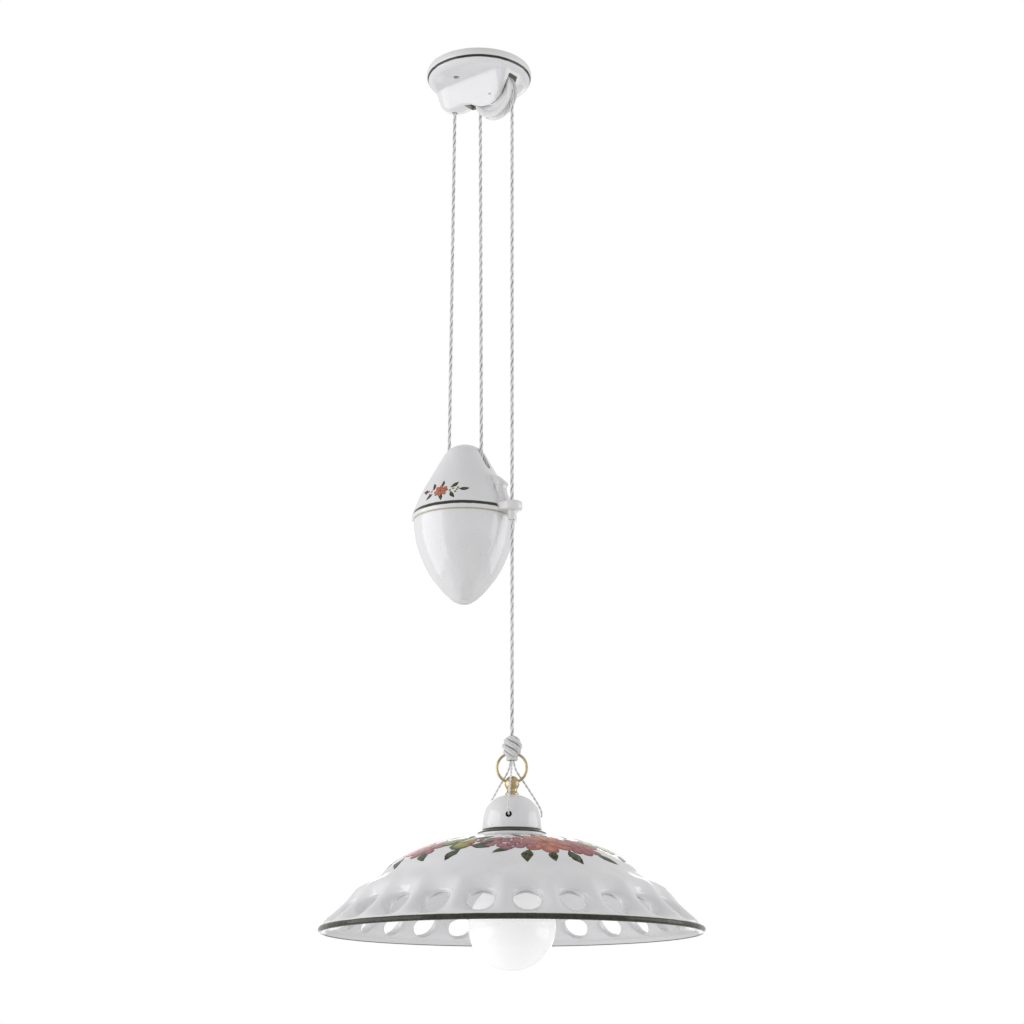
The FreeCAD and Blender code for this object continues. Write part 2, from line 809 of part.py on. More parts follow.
# corners of the egg's outline as parts of its radius and height, and the lean of its side at each
EGG_CORNERS = ((0.9145, 0.3258, 17), (0.6445, 0.6727, 33.3), (0.2612, 0.9391, 48.1))
EGG_BENDS = (118, 134, 132.5)


def egg_outline(gap):
    """The egg's corners below its rim, set in by a gap, and the arcs that leave them, from the rim down."""
    corners = []
    for part_out, part_down, lean in EGG_CORNERS:
        lean = math.radians(lean)
        corners.append(
            (egg_radius * part_out - gap * math.cos(lean), -egg_height * part_down + gap * math.sin(lean))
        )
    reach, height = corners[-1]
    tip = -egg_height + gap
    bends = [EGG_BENDS[1] - gap, EGG_BENDS[2] - gap, dome_radius(reach - axis_flat, height - tip)]
    return corners + [(axis_flat, tip), (0, tip)], bends


egg_outer, outer_bends = egg_outline(as_size(0))
egg_inner, inner_bends = egg_outline(egg_wall)
turned_piece(
    "weight_egg",
    [(egg_radius, 0)] + egg_outer + egg_inner[::-1] + [(egg_radius - egg_wall, 0)],
    {
        0: EGG_BENDS[0],
        1: outer_bends[0],
        2: outer_bends[1],
        3: outer_bends[2],
        7: -inner_bends[2],
        8: -inner_bends[1],
        9: -inner_bends[0],
        10: -(EGG_BENDS[0] - egg_wall),
    },
    x=weight_x,
    z=egg_top,
)
turned_piece(
    "cork_ring",
    [
        (egg_radius - egg_wall, 0),
        (egg_radius - 1, 0),
        (egg_radius - 1, cork_thickness),
        (egg_radius - egg_wall, cork_thickness),
    ],
    x=weight_x,
    z=egg_top,
)
ballast_outer, ballast_bends = egg_outline(egg_wall + seat_gap)
turned_piece(
    "ballast",
    [(egg_radius - egg_wall - 1, -ballast_below)]
    + ballast_outer
    + [
        (0, -(ballast_below + rod_length_in_ballast)),
        (rod_radius + 0.1, -(ballast_below + rod_length_in_ballast)),
        (rod_radius + 0.1, -ballast_below),
    ],
    {1: ballast_bends[0], 2: ballast_bends[1], 3: ballast_bends[2]},
    x=weight_x,
    z=egg_top,
)

yoke = new_body("weight_yoke")
u_shape = new_sketch(yoke, "YZ_Plane")
leg_out = yoke_inner + yoke_thickness
leg_top = -(weight_pulley_depth - yoke_half_width)
draw_outline(
    u_shape,
    [
        (-leg_out, leg_top),
        (-leg_out, -(yoke_base_depth + yoke_thickness)),
        (leg_out, -(yoke_base_depth + yoke_thickness)),
        (leg_out, leg_top),
        (yoke_inner, leg_top),
        (yoke_inner, -yoke_base_depth),
        (-yoke_inner, -yoke_base_depth),
        (-yoke_inner, leg_top),
    ],
)
extrude(yoke, u_shape, yoke_half_width * 2, both_ways=True)
shaped(
    yoke, "SubtractiveCylinder", y=leg_out + 1, z=-weight_pulley_depth,
    rotation=Rotation(Vector(1, 0, 0), 90), Radius=weight_axle_radius + running_gap, Height=(leg_out + 1) * 2,
)
shaped(
    yoke, "SubtractiveCylinder", z=-(yoke_base_depth + yoke_thickness + 1),
    Radius=rod_radius + 0.1, Height=yoke_thickness + 2,
)
place(yoke, weight_x, 0, -weight_drop)

rod_top = -(yoke_base_depth - nut_height - 1)
turned_piece(
    "tie_rod",
    [
        (0, rod_top),
        (rod_radius - 0.6, rod_top),
        (rod_radius, rod_top - 0.6),
        (rod_radius, -(cap_height + cork_thickness + ballast_below + rod_length_in_ballast - 0.5)),
        (0, -(cap_height + cork_thickness + ballast_below + rod_length_in_ballast - 0.5)),
    ],
    x=weight_x,
    z=-weight_drop,
)


def hex_nut(label, across, height, bore, **where):
    """A plain hexagon nut, its lower face at its own origin."""
    body = new_body(label)
    sketch = new_sketch(body, "XY_Plane")
    corner, flat = across / math.sqrt(3), across / 2
    half = corner / 2
    draw_outline(
        sketch, [(corner, 0), (half, flat), (-half, flat), (-corner, 0), (-half, -flat), (half, -flat)]
    )
    extrude(body, sketch, height)
    shaped(body, "SubtractiveCylinder", z=-1, Radius=bore, Height=height + 2)
    place(body, **where)
    return body


tie_nuts = doc.addObject("Part::MultiFuse", "tie_nuts")
tie_nuts.Label = "tie_nuts"
tie_nuts.Shapes = [
    hex_nut(
        "upper_nut", nut_across, nut_height, rod_radius + 0.1,
        x=weight_x, z=-(weight_drop + yoke_base_depth),
    ),
    hex_nut(
        "lower_nut", nut_across, nut_height, rod_radius + 0.1,
        x=weight_x, z=-(weight_drop + yoke_base_depth + yoke_thickness + nut_height),
    ),
]

clips = doc.addObject("Part::MultiFuse", "axle_clips")
clips.Label = "axle_clips"
clip_parts = []
for side in SIDES:
    clip_parts.append(
        turned_piece(
            f"axle_clip_{'ab'[side > 0]}",
            [
                (weight_axle_radius + 0.05, -0.5),
                (weight_axle_radius + 2.5, -0.5),
                (weight_axle_radius + 2.5, 0.5),
                (weight_axle_radius + 0.05, 0.5),
            ],
            x=weight_x, y=(leg_out + 1) * side, z=weight_pulley_z, turn=90, axis=Vector(1, 0, 0),
        )
    )
clips.Shapes = clip_parts

turned_piece(
    "guide_bush",
    [
        (cord_diameter / 2 + cord_gap + 0.2, 1.5),
        (guide_radius + guide_collar, 1.5),
        (guide_radius + guide_collar, 0),
        (guide_radius, 0),
        (guide_radius, -arm_thickness),
        (guide_radius + 0.8, -(arm_thickness + 0.1)),
        (guide_radius - 0.8, -(arm_thickness + guide_nozzle)),
        (cord_diameter / 2 + cord_gap + 0.2, -(arm_thickness + guide_nozzle)),
    ],
    x=lamp_x,
    z=-(weight_drop + arm_top),
)

# ---- cord --------------------------------------------------------------------------------------------------

run_top = -rose_pulley_depth - joint_gap
run_bottom = weight_pulley_z + joint_gap
straight_cord("cord_anchor_run", (-anchor_x, -nose_depth - joint_gap), (weight_x - pulley_pitch, run_bottom))
straight_cord(
    "cord_middle_run", (rose_pulley_x - pulley_pitch, run_top), (weight_x + pulley_pitch, run_bottom)
)
straight_cord("cord_lamp_run", (lamp_x, run_top), (lamp_x, -lamp_drop + knot_top + joint_gap))
half_loop("cord_rose_loop", rose_pulley_x, -rose_pulley_depth, upper=True)
half_loop("cord_weight_loop", weight_x, weight_pulley_z, upper=False)
entry_z = -(rose_depth - rose_floor) + block_height / 2
tube(
    "cord_inner_run",
    [
        (0, 0, -nose_depth),
        (0, 0, entry_z),
        (0, block_offset - 0.1, entry_z),
    ],
    cord_diameter,
    x=-anchor_x,
)

# ---- what the lamp hangs on --------------------------------------------------------------------------------


def ring_solid(label, radius, wire, z):
    """A torus whose plane faces along ring_turn, about the lamp's axis."""
    body = new_body(label)
    shaped(body, "AdditiveTorus", rotation=Rotation(Vector(1, 0, 0), 90), Radius1=radius, Radius2=wire)
    place(body, lamp_x, 0, z, ring_turn)
    return body


def cut_by_torus(body, radius, wire, z):
    """Cuts the ring's way through a body that stands on the lamp's axis and shares the ring's turn."""
    shaped(
        body, "SubtractiveTorus", z=z, rotation=Rotation(Vector(1, 0, 0), 90), Radius1=radius, Radius2=wire
    )


ring_solid("hanging_ring", ring_radius, ring_wire, -lamp_drop + ring_centre)

eye = new_body("hanging_eye")
ball_z = eye_height - eye_ball
turn_outline(
    eye,
    [
        (0, eye_height),
        (axis_flat, eye_height),
        (eye_ball * 0.8, ball_z - eye_ball * 0.6),
        (5.6, 4.5),
        (6.4, 2.6),
        (7.4, 2),
        (7.4, 0),
        (stem_radius, 0),
        (stem_radius, -(cup_height - 11)),
        (0, -(cup_height - 11)),
    ],
    {1: dome_radius(eye_ball * 0.8 - axis_flat, eye_ball * 1.6), 2: -12},
)
cut_by_torus(eye, ring_radius, eye_hole, ring_centre - (eye_hole - ring_wire - seat_gap))
place(eye, lamp_x, 0, -lamp_drop, ring_turn)

knot = new_body("cord_knot")
turn_outline(
    knot,
    [
        (0, knot_bottom),
        (5, knot_bottom),
        (knot_radius, knot_bottom + knot_height * 0.4),
        (knot_radius * 0.8, knot_bottom + knot_height * 0.75),
        (cord_diameter / 2, knot_top),
        (0, knot_top),
    ],
    {1: -16, 2: -14},
)
cut_by_torus(knot, ring_radius, ring_wire + 0.15, ring_centre)
place(knot, lamp_x, 0, -lamp_drop, ring_turn)

for number in range(CONDUCTORS):
    tube(
        f"conductor_{number + 1}",
        [
            (2.2, 0, knot_bottom - 0.2),
            (3, 0, knot_bottom - 9),
            (12, 0, knot_bottom - 20),
            (24, 0, knot_bottom - 36),
            (cup_radius + 3.5, 0, -cup_hole_depth + 9),
            (cup_radius + 2.5, 0, -cup_hole_depth),
            (cup_radius - cup_wall - 3, 0, -cup_hole_depth),
        ],
        strand_diameter,
        x=lamp_x,
        z=-lamp_drop,
        turn=cup_hole_turn + 120 * number,
    )

# ---- cup ---------------------------------------------------------------------------------------------------

cup = new_body("lamp_cup")
turn_outline(
    cup,
    [
        (stem_radius + 0.3, 0),
        (9, 0),
        (cup_radius - 4, -14),
        (cup_radius, -(cup_height - 12)),
        (cup_radius + 0.5, -(cup_height - 8)),
        (cup_flange, -(cup_height - 4.5)),
        (cup_flange, -(cup_height - 1)),
        (cup_flange - 1.2, -cup_height),
        (cup_radius - 1.5, -cup_height),
        (cup_radius - cup_wall, -(cup_height - 10)),
        (cup_radius - cup_wall, -24),
        (13, -cup_wall - 3),
        (10, -cup_wall - 0.5),
        (stem_radius + 0.3, -cup_wall - 0.5),
    ],
    {1: 30, 2: 70, 4: -8, 10: -20},
)
cup_hole = shaped(
    cup, "SubtractiveCylinder", z=-cup_hole_depth, rotation=Rotation(Vector(0, 1, 0), 90),
    Radius=cup_hole_radius, Height=cup_radius + 10,
)
repeat_round(cup, [cup_hole], CONDUCTORS)
place(cup, lamp_x, 0, -lamp_drop, cup_hole_turn)

washer_top = -(cup_wall + 0.5)
turned_piece(
    "cup_washer",
    [
        (stem_radius + 0.2, washer_top - washer_thickness),
        (9, washer_top - washer_thickness),
        (9, washer_top),
        (stem_radius + 0.2, washer_top),
    ],
    x=lamp_x, z=-lamp_drop,
)
hex_nut(
    "cup_nut", cup_nut_across, cup_nut_height, stem_radius + 0.05,
    x=lamp_x, z=-lamp_drop + washer_top - washer_thickness - cup_nut_height,
)

# ---- lampholder --------------------------------------------------------------------------------------------

holder_cap_top = -(cup_height - 15.5)
shoulder_top = -(shade_top - 4)
turned_piece(
    "lampholder_cap",
    [
        (stem_radius + 0.1, holder_cap_top),
        (8, holder_cap_top),
        (8, holder_cap_top - 3),
        (holder_cap_radius, holder_cap_top - 7),
        (holder_cap_radius, shoulder_top + 0.1),
        (holder_cap_radius - 2.5, shoulder_top + 0.1),
        (holder_cap_radius - 2.5, holder_cap_top - 8),
        (stem_radius + 0.1, holder_cap_top - 6),
    ],
    {2: 10},
    x=lamp_x, z=-lamp_drop,
)
holder_bottom = shoulder_top - holder_length + 12
turned_piece(
    "lampholder_body",
    [
        (0, shoulder_top),
        (24, shoulder_top),
        (24, -(shade_top - 0.5)),
        (holder_radius, -(shade_top - 0.5)),
        (holder_radius, holder_bottom + 1.5),
        (holder_radius - 1, holder_bottom),
        (shell_radius + 1, holder_bottom),
        (shell_radius + 1, -(bulb_cap_top - 4)),
        (0, -(bulb_cap_top - 4)),
    ],
    x=lamp_x, z=-lamp_drop,
)
shell_bottom = holder_bottom + 5
turned_piece(
    "lampholder_shell",
    [
        (shell_radius - 0.5, shell_bottom),
        (shell_radius + 0.8, shell_bottom),
        (shell_radius + 0.8, -(bulb_cap_top - 3.5)),
        (5, -(bulb_cap_top - 3.5)),
        (5, -(bulb_cap_top - 2.5)),
        (shell_radius - 0.5, -(bulb_cap_top - 2.5)),
    ],
    x=lamp_x, z=-lamp_drop,
)
turned_piece(
    "lampholder_contact",
    [
        (0, -(bulb_cap_top - 4)),
        (3, -(bulb_cap_top - 4)),
        (3, -(bulb_cap_top - 1.6)),
        (0, -(bulb_cap_top - 1.6)),
    ],
    x=lamp_x, z=-lamp_drop,
)
turned_piece(
    "holder_washer",
    [
        (holder_radius + 0.2, -(shade_top - 0.45)),
        (24, -(shade_top - 0.45)),
        (24, -shade_top),
        (holder_radius + 0.2, -shade_top),
    ],
    x=lamp_x, z=-lamp_drop,
)
turned_piece(
    "shade_ring",
    [
        (holder_radius + 0.1, -(shade_top + shade_wall)),
        (29, -(shade_top + shade_wall)),
        (29, -(shade_top + shade_wall + 3)),
        (holder_radius + 3.5, -(shade_top + shade_wall + 4)),
        (holder_radius + 3.5, -(shade_top + shade_wall + 8)),
        (holder_radius + 0.1, -(shade_top + shade_wall + 8)),
    ],
    x=lamp_x, z=-lamp_drop,
)
turned_piece(
    "cup_gasket",
    [
        (cup_radius - 1, 0),
        (cup_flange - 2, 0),
        (cup_flange - 2, gasket_thickness),
        (cup_radius - 1, gasket_thickness),
    ],
    x=lamp_x, z=-lamp_drop - shade_top,
)

# ---- shade: a pressed dish with a pierced brim. A hood and two ribs stand round each hole -----

shade = new_body("shade")
crease = (shade_radius - crease_inset, crease_rise - shade_height)
hood_edge = (shade_radius - hood_edge_inset, hood_edge_rise - shade_height)
rim_start = (shade_radius - rim_inset, rim_rise - shade_height)
turn_outline(
    shade,
    [
        (0, 0),
        (crown_radius, 0),
        crease,
        (shade_radius - shoulder_inset, shoulder_rise - shade_height),
        hood_edge,
        rim_start,
        (shade_radius - rim_inset * 0.56, -shade_height + rim_rise * 0.72),
        (shade_radius, -shade_height + 3.2),
        (shade_radius - 3.5, -shade_height),
        (0, -shade_height),
    ],
    {1: crown_bend, 3: 24, 4: -168, 6: 8, 7: 3.5},
)
lining_brim = (shade_radius - 7.4, -shade_height + 3.8)
turn_outline(
    shade,
    [
        (0, -shade_wall),
        (crown_radius - 1, -shade_wall),
        (crease[0] - shade_wall * 0.62, crease[1] - shade_wall * 0.88),
        (shade_radius - 43.5, -shade_height + 43.2),
        (shade_radius - 38.5, -shade_height + 31.2),
        (shade_radius - 34.5, -shade_height + 19.6),
        (shade_radius - 21, -shade_height + 7.4),
        lining_brim,
        (lining_brim[0] + 1.4, -shade_height - 1),
        (0, -shade_height - 1),
    ],
    {1: crown_bend - shade_wall, 2: 36, 5: -34},
    kind="Groove",
)
# the hole, and a dimple that widens outward along the hole's axis
bore_back = 12
piercing = turn_outline(
    shade,
    [
        (0, -bore_back),
        (pierce_radius, -bore_back),
        (pierce_radius, 0),
        (pierce_radius + dimple_flare, dimple_length),
        (0, dimple_length),
    ],
    kind="Groove",
    centre=(shade_radius - pierce_inset, pierce_rise - shade_height),
    lean=90 - pierce_lean.number,
)
repeat_round(shade, [piercing], PIERCINGS)
shaped(shade, "SubtractiveCylinder", z=-20, Radius=shade_hole, Height=30)
place(shade, lamp_x, 0, -lamp_drop - shade_top, pierce_turn)

# ---- bulb --------------------------------------------------------------------------------------------------

bulb_neck_z = -(bulb_cap_top + bulb_cap_length)
neck_radius = bulb_cap_radius - 0.6
bulb_inner = bulb_radius - bulb_wall
turned_piece(
    "bulb_glass",
    [
        (neck_radius, bulb_neck_z + 4),
        (neck_radius, bulb_neck_z - 3),
        (bulb_radius * 0.6, -bulb_drop + bulb_radius * 0.8),
        (axis_flat, -bulb_drop - bulb_radius),
        (0, -bulb_drop - bulb_radius),
        (0, -bulb_drop - bulb_inner),
        (axis_flat, -bulb_drop - bulb_inner),
        (bulb_inner * 0.6, -bulb_drop + bulb_inner * 0.8),
        (neck_radius - bulb_wall, bulb_neck_z - 3),
        (neck_radius - bulb_wall, bulb_neck_z + 4),
    ],
    {
        1: -30,
        2: dome_radius(bulb_radius * 0.6 - axis_flat, bulb_radius * 1.8),
        6: -dome_radius(bulb_inner * 0.6 - axis_flat, bulb_inner * 1.8),
        7: 31,
    },
    x=lamp_x, z=-lamp_drop,
)
turned_piece(
    "bulb_cap",
    [
        (bulb_cap_radius - 0.5, bulb_neck_z + 1),
        (bulb_cap_radius, bulb_neck_z + 1),
        (bulb_cap_radius, -(bulb_cap_top + 5)),
        (8, -(bulb_cap_top + 1.5)),
        (8, -(bulb_cap_top + 2)),
        (bulb_cap_radius - 0.5, -(bulb_cap_top + 5.5)),
    ],
    x=lamp_x, z=-lamp_drop,
)
turned_piece(
    "bulb_insulator",
    [
        (5, -bulb_cap_top),
        (7.9, -(bulb_cap_top + 1.6)),
        (7.9, -(bulb_cap_top + 4)),
        (0, -(bulb_cap_top + 4)),
        (0, -bulb_cap_top),
    ],
    x=lamp_x, z=-lamp_drop,
)
turned_piece(
    "bulb_contact",
    [(0, -bulb_cap_top), (4.5, -bulb_cap_top), (3.5, -(bulb_cap_top - 1.4)), (0, -(bulb_cap_top - 1.4))],
    x=lamp_x, z=-lamp_drop,
)

# ---- check and write ---------------------------------------------------------------------------------------

NODES = """
ceiling_rose ceiling_bracket rose_screws terminal_block terminal_screws cord_anchor rose_axle
cord_inner_run cord_anchor_run cord_middle_run cord_lamp_run cord_rose_loop
rose_pulley rose_pulley_bush
weight_cap weight_egg cork_ring ballast weight_yoke tie_rod tie_nuts weight_axle axle_clips guide_bush
cord_weight_loop weight_pulley weight_pulley_bush
cord_knot hanging_ring
hanging_eye conductor_1 conductor_2 conductor_3 lamp_cup cup_washer cup_nut lampholder_cap lampholder_body
lampholder_shell lampholder_contact holder_washer shade_ring cup_gasket shade
bulb_glass bulb_cap bulb_insulator bulb_contact
""".split()

doc.recompute()
for thing in doc.Objects:
    if "Invalid" in thing.State or "Error" in thing.State:
        sys.exit(f"{thing.Label} failed: {thing.State}")
pieces = {}
for name in NODES:
    found = doc.getObjectsByLabel(name)
    if len(found) != 1:
        sys.exit(f"{name}: {len(found)} objects have this label")
    shape = found[0].Shape
    if shape.isNull() or not shape.isValid() or not shape.Solids:
        sys.exit(f"{name}: its shape isn't a valid solid")
    pieces[name] = shape
os.makedirs("parts", exist_ok=True)
for name, shape in pieces.items():
    shape.exportStep(f"parts/{name}.step")
print(f"{len(pieces)} nodes written")
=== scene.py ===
import math

import bmesh
import bpy
import numpy as np
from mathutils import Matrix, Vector


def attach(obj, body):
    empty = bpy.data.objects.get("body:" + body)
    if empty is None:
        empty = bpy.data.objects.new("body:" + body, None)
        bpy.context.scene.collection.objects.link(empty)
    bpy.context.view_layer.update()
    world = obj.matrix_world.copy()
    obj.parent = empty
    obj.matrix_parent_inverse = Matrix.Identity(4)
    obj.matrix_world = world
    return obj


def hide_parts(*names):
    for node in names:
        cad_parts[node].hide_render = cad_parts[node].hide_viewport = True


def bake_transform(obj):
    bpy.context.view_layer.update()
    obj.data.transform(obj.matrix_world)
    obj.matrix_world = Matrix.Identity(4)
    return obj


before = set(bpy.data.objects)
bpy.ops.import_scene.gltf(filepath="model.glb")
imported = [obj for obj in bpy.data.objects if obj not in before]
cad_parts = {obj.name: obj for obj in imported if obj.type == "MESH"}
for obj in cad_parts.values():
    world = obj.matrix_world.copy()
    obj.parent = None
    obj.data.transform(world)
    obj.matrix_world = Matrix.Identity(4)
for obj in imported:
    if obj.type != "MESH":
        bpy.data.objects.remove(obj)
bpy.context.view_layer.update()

# ---- camera, studio and floor --------------------------------------------------------------------
# The pendant is seen from a little below its shade, two metres off, in an even white studio. Large soft
# lamps stand on both sides and behind, level with it, and a pale floor lies a room's height below.

CAMERA_TURN = math.radians(38)
CAMERA_TILT = math.radians(16.1)
CAMERA_REACH, CAMERA_HEIGHT = 2.192, -1.212  # from the lamp's axis and the ceiling, in metres
LENS_PIXELS, PICTURE_PIXELS = 1981, 1024
SENSOR = 36
LAMP_AXIS = 0.052


def beside_camera(turn, reach, height):
    """A point at a turn round the lamp's axis from the camera, in degrees to the right."""
    angle = CAMERA_TURN + math.radians(turn)
    return (LAMP_AXIS + reach * math.sin(angle), -reach * math.cos(angle), height)


camera = bpy.data.objects.new("camera", bpy.data.cameras.new("camera"))
bpy.context.scene.collection.objects.link(camera)
camera.location = beside_camera(0, CAMERA_REACH, CAMERA_HEIGHT)
camera.rotation_euler = (math.pi / 2 + CAMERA_TILT, 0, CAMERA_TURN)
camera.data.sensor_width = SENSOR
camera.data.lens = SENSOR * LENS_PIXELS / PICTURE_PIXELS
bpy.context.scene.camera = camera
bpy.context.scene.view_settings.view_transform = "Standard"


def put_node(material, kind, **settings):
    """Adds a node to a material and sets its properties."""
    node = material.node_tree.nodes.new(kind)
    for name, value in settings.items():
        setattr(node, name, value)
    return node


def fix(node, **values):
    """Sets the sockets of a node, each named with _ for a space."""
    for name, value in values.items():
        node.inputs[name.replace("_", " ")].default_value = value


def join(material, start, end):
    material.node_tree.links.new(start, end)


def new_finish(name):
    """An empty material: (material, its Principled shader)."""
    material = bpy.data.materials.new(name)
    material.use_nodes = True
    return material, material.node_tree.nodes["Principled BSDF"]


def object_place(material):
    """The point on the piece, in metres from the middle of the ceiling rose."""
    return put_node(material, "ShaderNodeTexCoord").outputs["Object"]


def speckle(material, scale, detail=3.0, roughness=0.55, place=None):
    """Cloudy noise over the piece; a scale of 100 gives patches of about a centimetre."""
    noise = put_node(material, "ShaderNodeTexNoise")
    fix(noise, Scale=scale, Detail=detail, Roughness=roughness)
    join(material, place or object_place(material), noise.inputs["Vector"])
    return noise.outputs["Fac"]


def graded(material, value, *stops):
    """A colour ramp over a value. Each stop is (position, colour)."""
    ramp = put_node(material, "ShaderNodeValToRGB")
    points = ramp.color_ramp.elements
    while len(points) < len(stops):
        points.new(0.5)
    for point, (position, colour) in zip(points, stops):
        point.position = position
        point.color = (*colour, 1)
    join(material, value, ramp.inputs["Fac"])
    return ramp.outputs["Color"]


def ranged(material, value, low, high, start=0.0, end=1.0):
    """The value moved from low..high to start..end, and held there."""
    node = put_node(material, "ShaderNodeMapRange")
    fix(node, From_Min=low, From_Max=high, To_Min=start, To_Max=end)
    join(material, value, node.inputs["Value"])
    return node.outputs["Result"]


def figure(material, operation, first, second=0.5):
    """The outcome of a calculation with two values or sockets."""
    node = put_node(material, "ShaderNodeMath", operation=operation)
    for socket, value in zip(node.inputs, (first, second)):
        if isinstance(value, (int, float)):
            socket.default_value = value
        else:
            join(material, value, socket)
    return node.outputs["Value"]


def blended(material, share, first, second):
    """One colour over another by a share; each is a socket or three numbers."""
    node = put_node(material, "ShaderNodeMix", data_type="RGBA")
    sockets = {"share": node.inputs[0], "first": node.inputs[6], "second": node.inputs[7]}
    for name, value in (("share", share), ("first", first), ("second", second)):
        if isinstance(value, (int, float)):
            sockets[name].default_value = value
        elif isinstance(value, tuple):
            sockets[name].default_value = (*value, 1)
        else:
            join(material, value, sockets[name])
    return node.outputs[2]


def tint(material, shader, value, low, high):
    """Colours a finish by a value, between two stops of (position, colour)."""
    join(material, graded(material, value, low, high), shader.inputs["Base Color"])


def dull_by(material, shader, value, low, high, least, most):
    """Makes a finish rougher with a value, from least to most."""
    join(material, ranged(material, value, low, high, least, most), shader.inputs["Roughness"])


def roughen(material, shader, height, depth):
    """Raises the surface by a value, up to a depth in metres."""
    bump = put_node(material, "ShaderNodeBump")
    fix(bump, Distance=depth)
    join(material, height, bump.inputs["Height"])
    earlier = shader.inputs["Normal"].links
    if earlier:
        join(material, earlier[0].from_socket, bump.inputs["Normal"])
    join(material, bump.outputs["Normal"], shader.inputs["Normal"])


def soft_lamp(name, place, aim, across, watts):
    """A square studio lamp that faces a point."""
    data = bpy.data.lights.new(name, "AREA")
    data.size = across
    data.energy = watts
    lamp = bpy.data.objects.new(name, data)
    bpy.context.scene.collection.objects.link(lamp)
    lamp.location = place
    lamp.rotation_euler = (Vector(aim) - Vector(place)).to_track_quat("-Z", "Y").to_euler()


soft_lamp("left_softbox", beside_camera(-80, 2.3, -0.9), (0, 0, -0.8), 2.6, 33)
soft_lamp("right_softbox", beside_camera(92, 2.4, -0.85), (0, 0, -0.8), 2.1, 20)
soft_lamp("back_softbox", beside_camera(178, 2.6, -0.6), (0, 0, -0.75), 1.6, 7)

AIR_LIGHT = 0.61  # what falls on the pendant from all round, where the camera sees 1
MIRRORED_SHARE = 0.35  # how far its mirror image goes toward what the camera sees
world = bpy.data.worlds.new("studio")
bpy.context.scene.world = world
world.use_nodes = True
rays = put_node(world, "ShaderNodeLightPath").outputs
straight = figure(world, "MAXIMUM", rays["Is Camera Ray"], rays["Is Transmission Ray"])
mirrored = figure(world, "MULTIPLY", rays["Is Glossy Ray"], MIRRORED_SHARE)
white = figure(world, "MAXIMUM", straight, mirrored)
air = world.node_tree.nodes["Background"].inputs
air["Color"].default_value = (1, 1, 1, 1)
join(world, ranged(world, white, 0, 1, AIR_LIGHT, 1), air["Strength"])


def make_piece(name, points, faces, *finishes, body=None, slot=None, stands_for=(), sharp=32):
    """A piece from points in millimetres in the pendant's own frame. It rides on a body and takes the place
    of CAD nodes."""
    mesh = bpy.data.meshes.new(name)
    mesh.from_pydata((np.asarray(points, float) * 0.001).tolist(), [], [tuple(map(int, f)) for f in faces])
    mesh.validate()
    form = bmesh.new()
    form.from_mesh(mesh)
    bmesh.ops.recalc_face_normals(form, faces=form.faces)
    form.to_mesh(mesh)
    form.free()
    mesh.polygons.foreach_set("use_smooth", [True] * len(mesh.polygons))
    if sharp is not None:
        mesh.set_sharp_from_angle(angle=math.radians(sharp))
    for finish in finishes:
        mesh.materials.append(finish)
    piece = bpy.data.objects.new(name, mesh)
    bpy.context.scene.collection.objects.link(piece)
    if body:
        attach(piece, body)
    if stands_for:
        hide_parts(*stands_for)
    return piece


floor_paint, floor_shader = new_finish("floor_paint")
floor_cloud = speckle(floor_paint, 1.5)
tint(floor_paint, floor_shader, floor_cloud, (0.3, (0.84, 0.84, 0.84)), (0.7, (0.87, 0.87, 0.87)))
fix(floor_shader, Roughness=0.7)
FLOOR_HALF, FLOOR_LEVEL = 7000, -2400
corners = [(x * FLOOR_HALF, y * FLOOR_HALF, FLOOR_LEVEL) for x, y in ((-1, -1), (1, -1), (1, 1), (-1, 1))]
floor = make_piece("floor", corners, [(0, 1, 2, 3)], floor_paint)

# ---- ceiling rose --------------------------------------------------------------------------------
# A cast plate of white glazed earthenware, flat to the ceiling, with a thin olive-black line painted
# round its edge. A rounded nose over the cord's anchor runs into a deeper lobe that holds the pulley,
# open along below. The glaze stops at the openings, and inside is bare clay, coloured darker than
# the clay as painted shade where the ceiling keeps light out.

GLAZE_WHITE = (0.80, 0.80, 0.815)
OLIVE_BLACK = (0.018, 0.018, 0.012)


def band(material, value, low, high, soft=0.0003):
    """One where a value in metres lies between two others, and nought outside."""
    return figure(
        material, "MULTIPLY",
        ranged(material, value, low - soft, low + soft),
        ranged(material, value, high - soft, high + soft, 1, 0),
    )


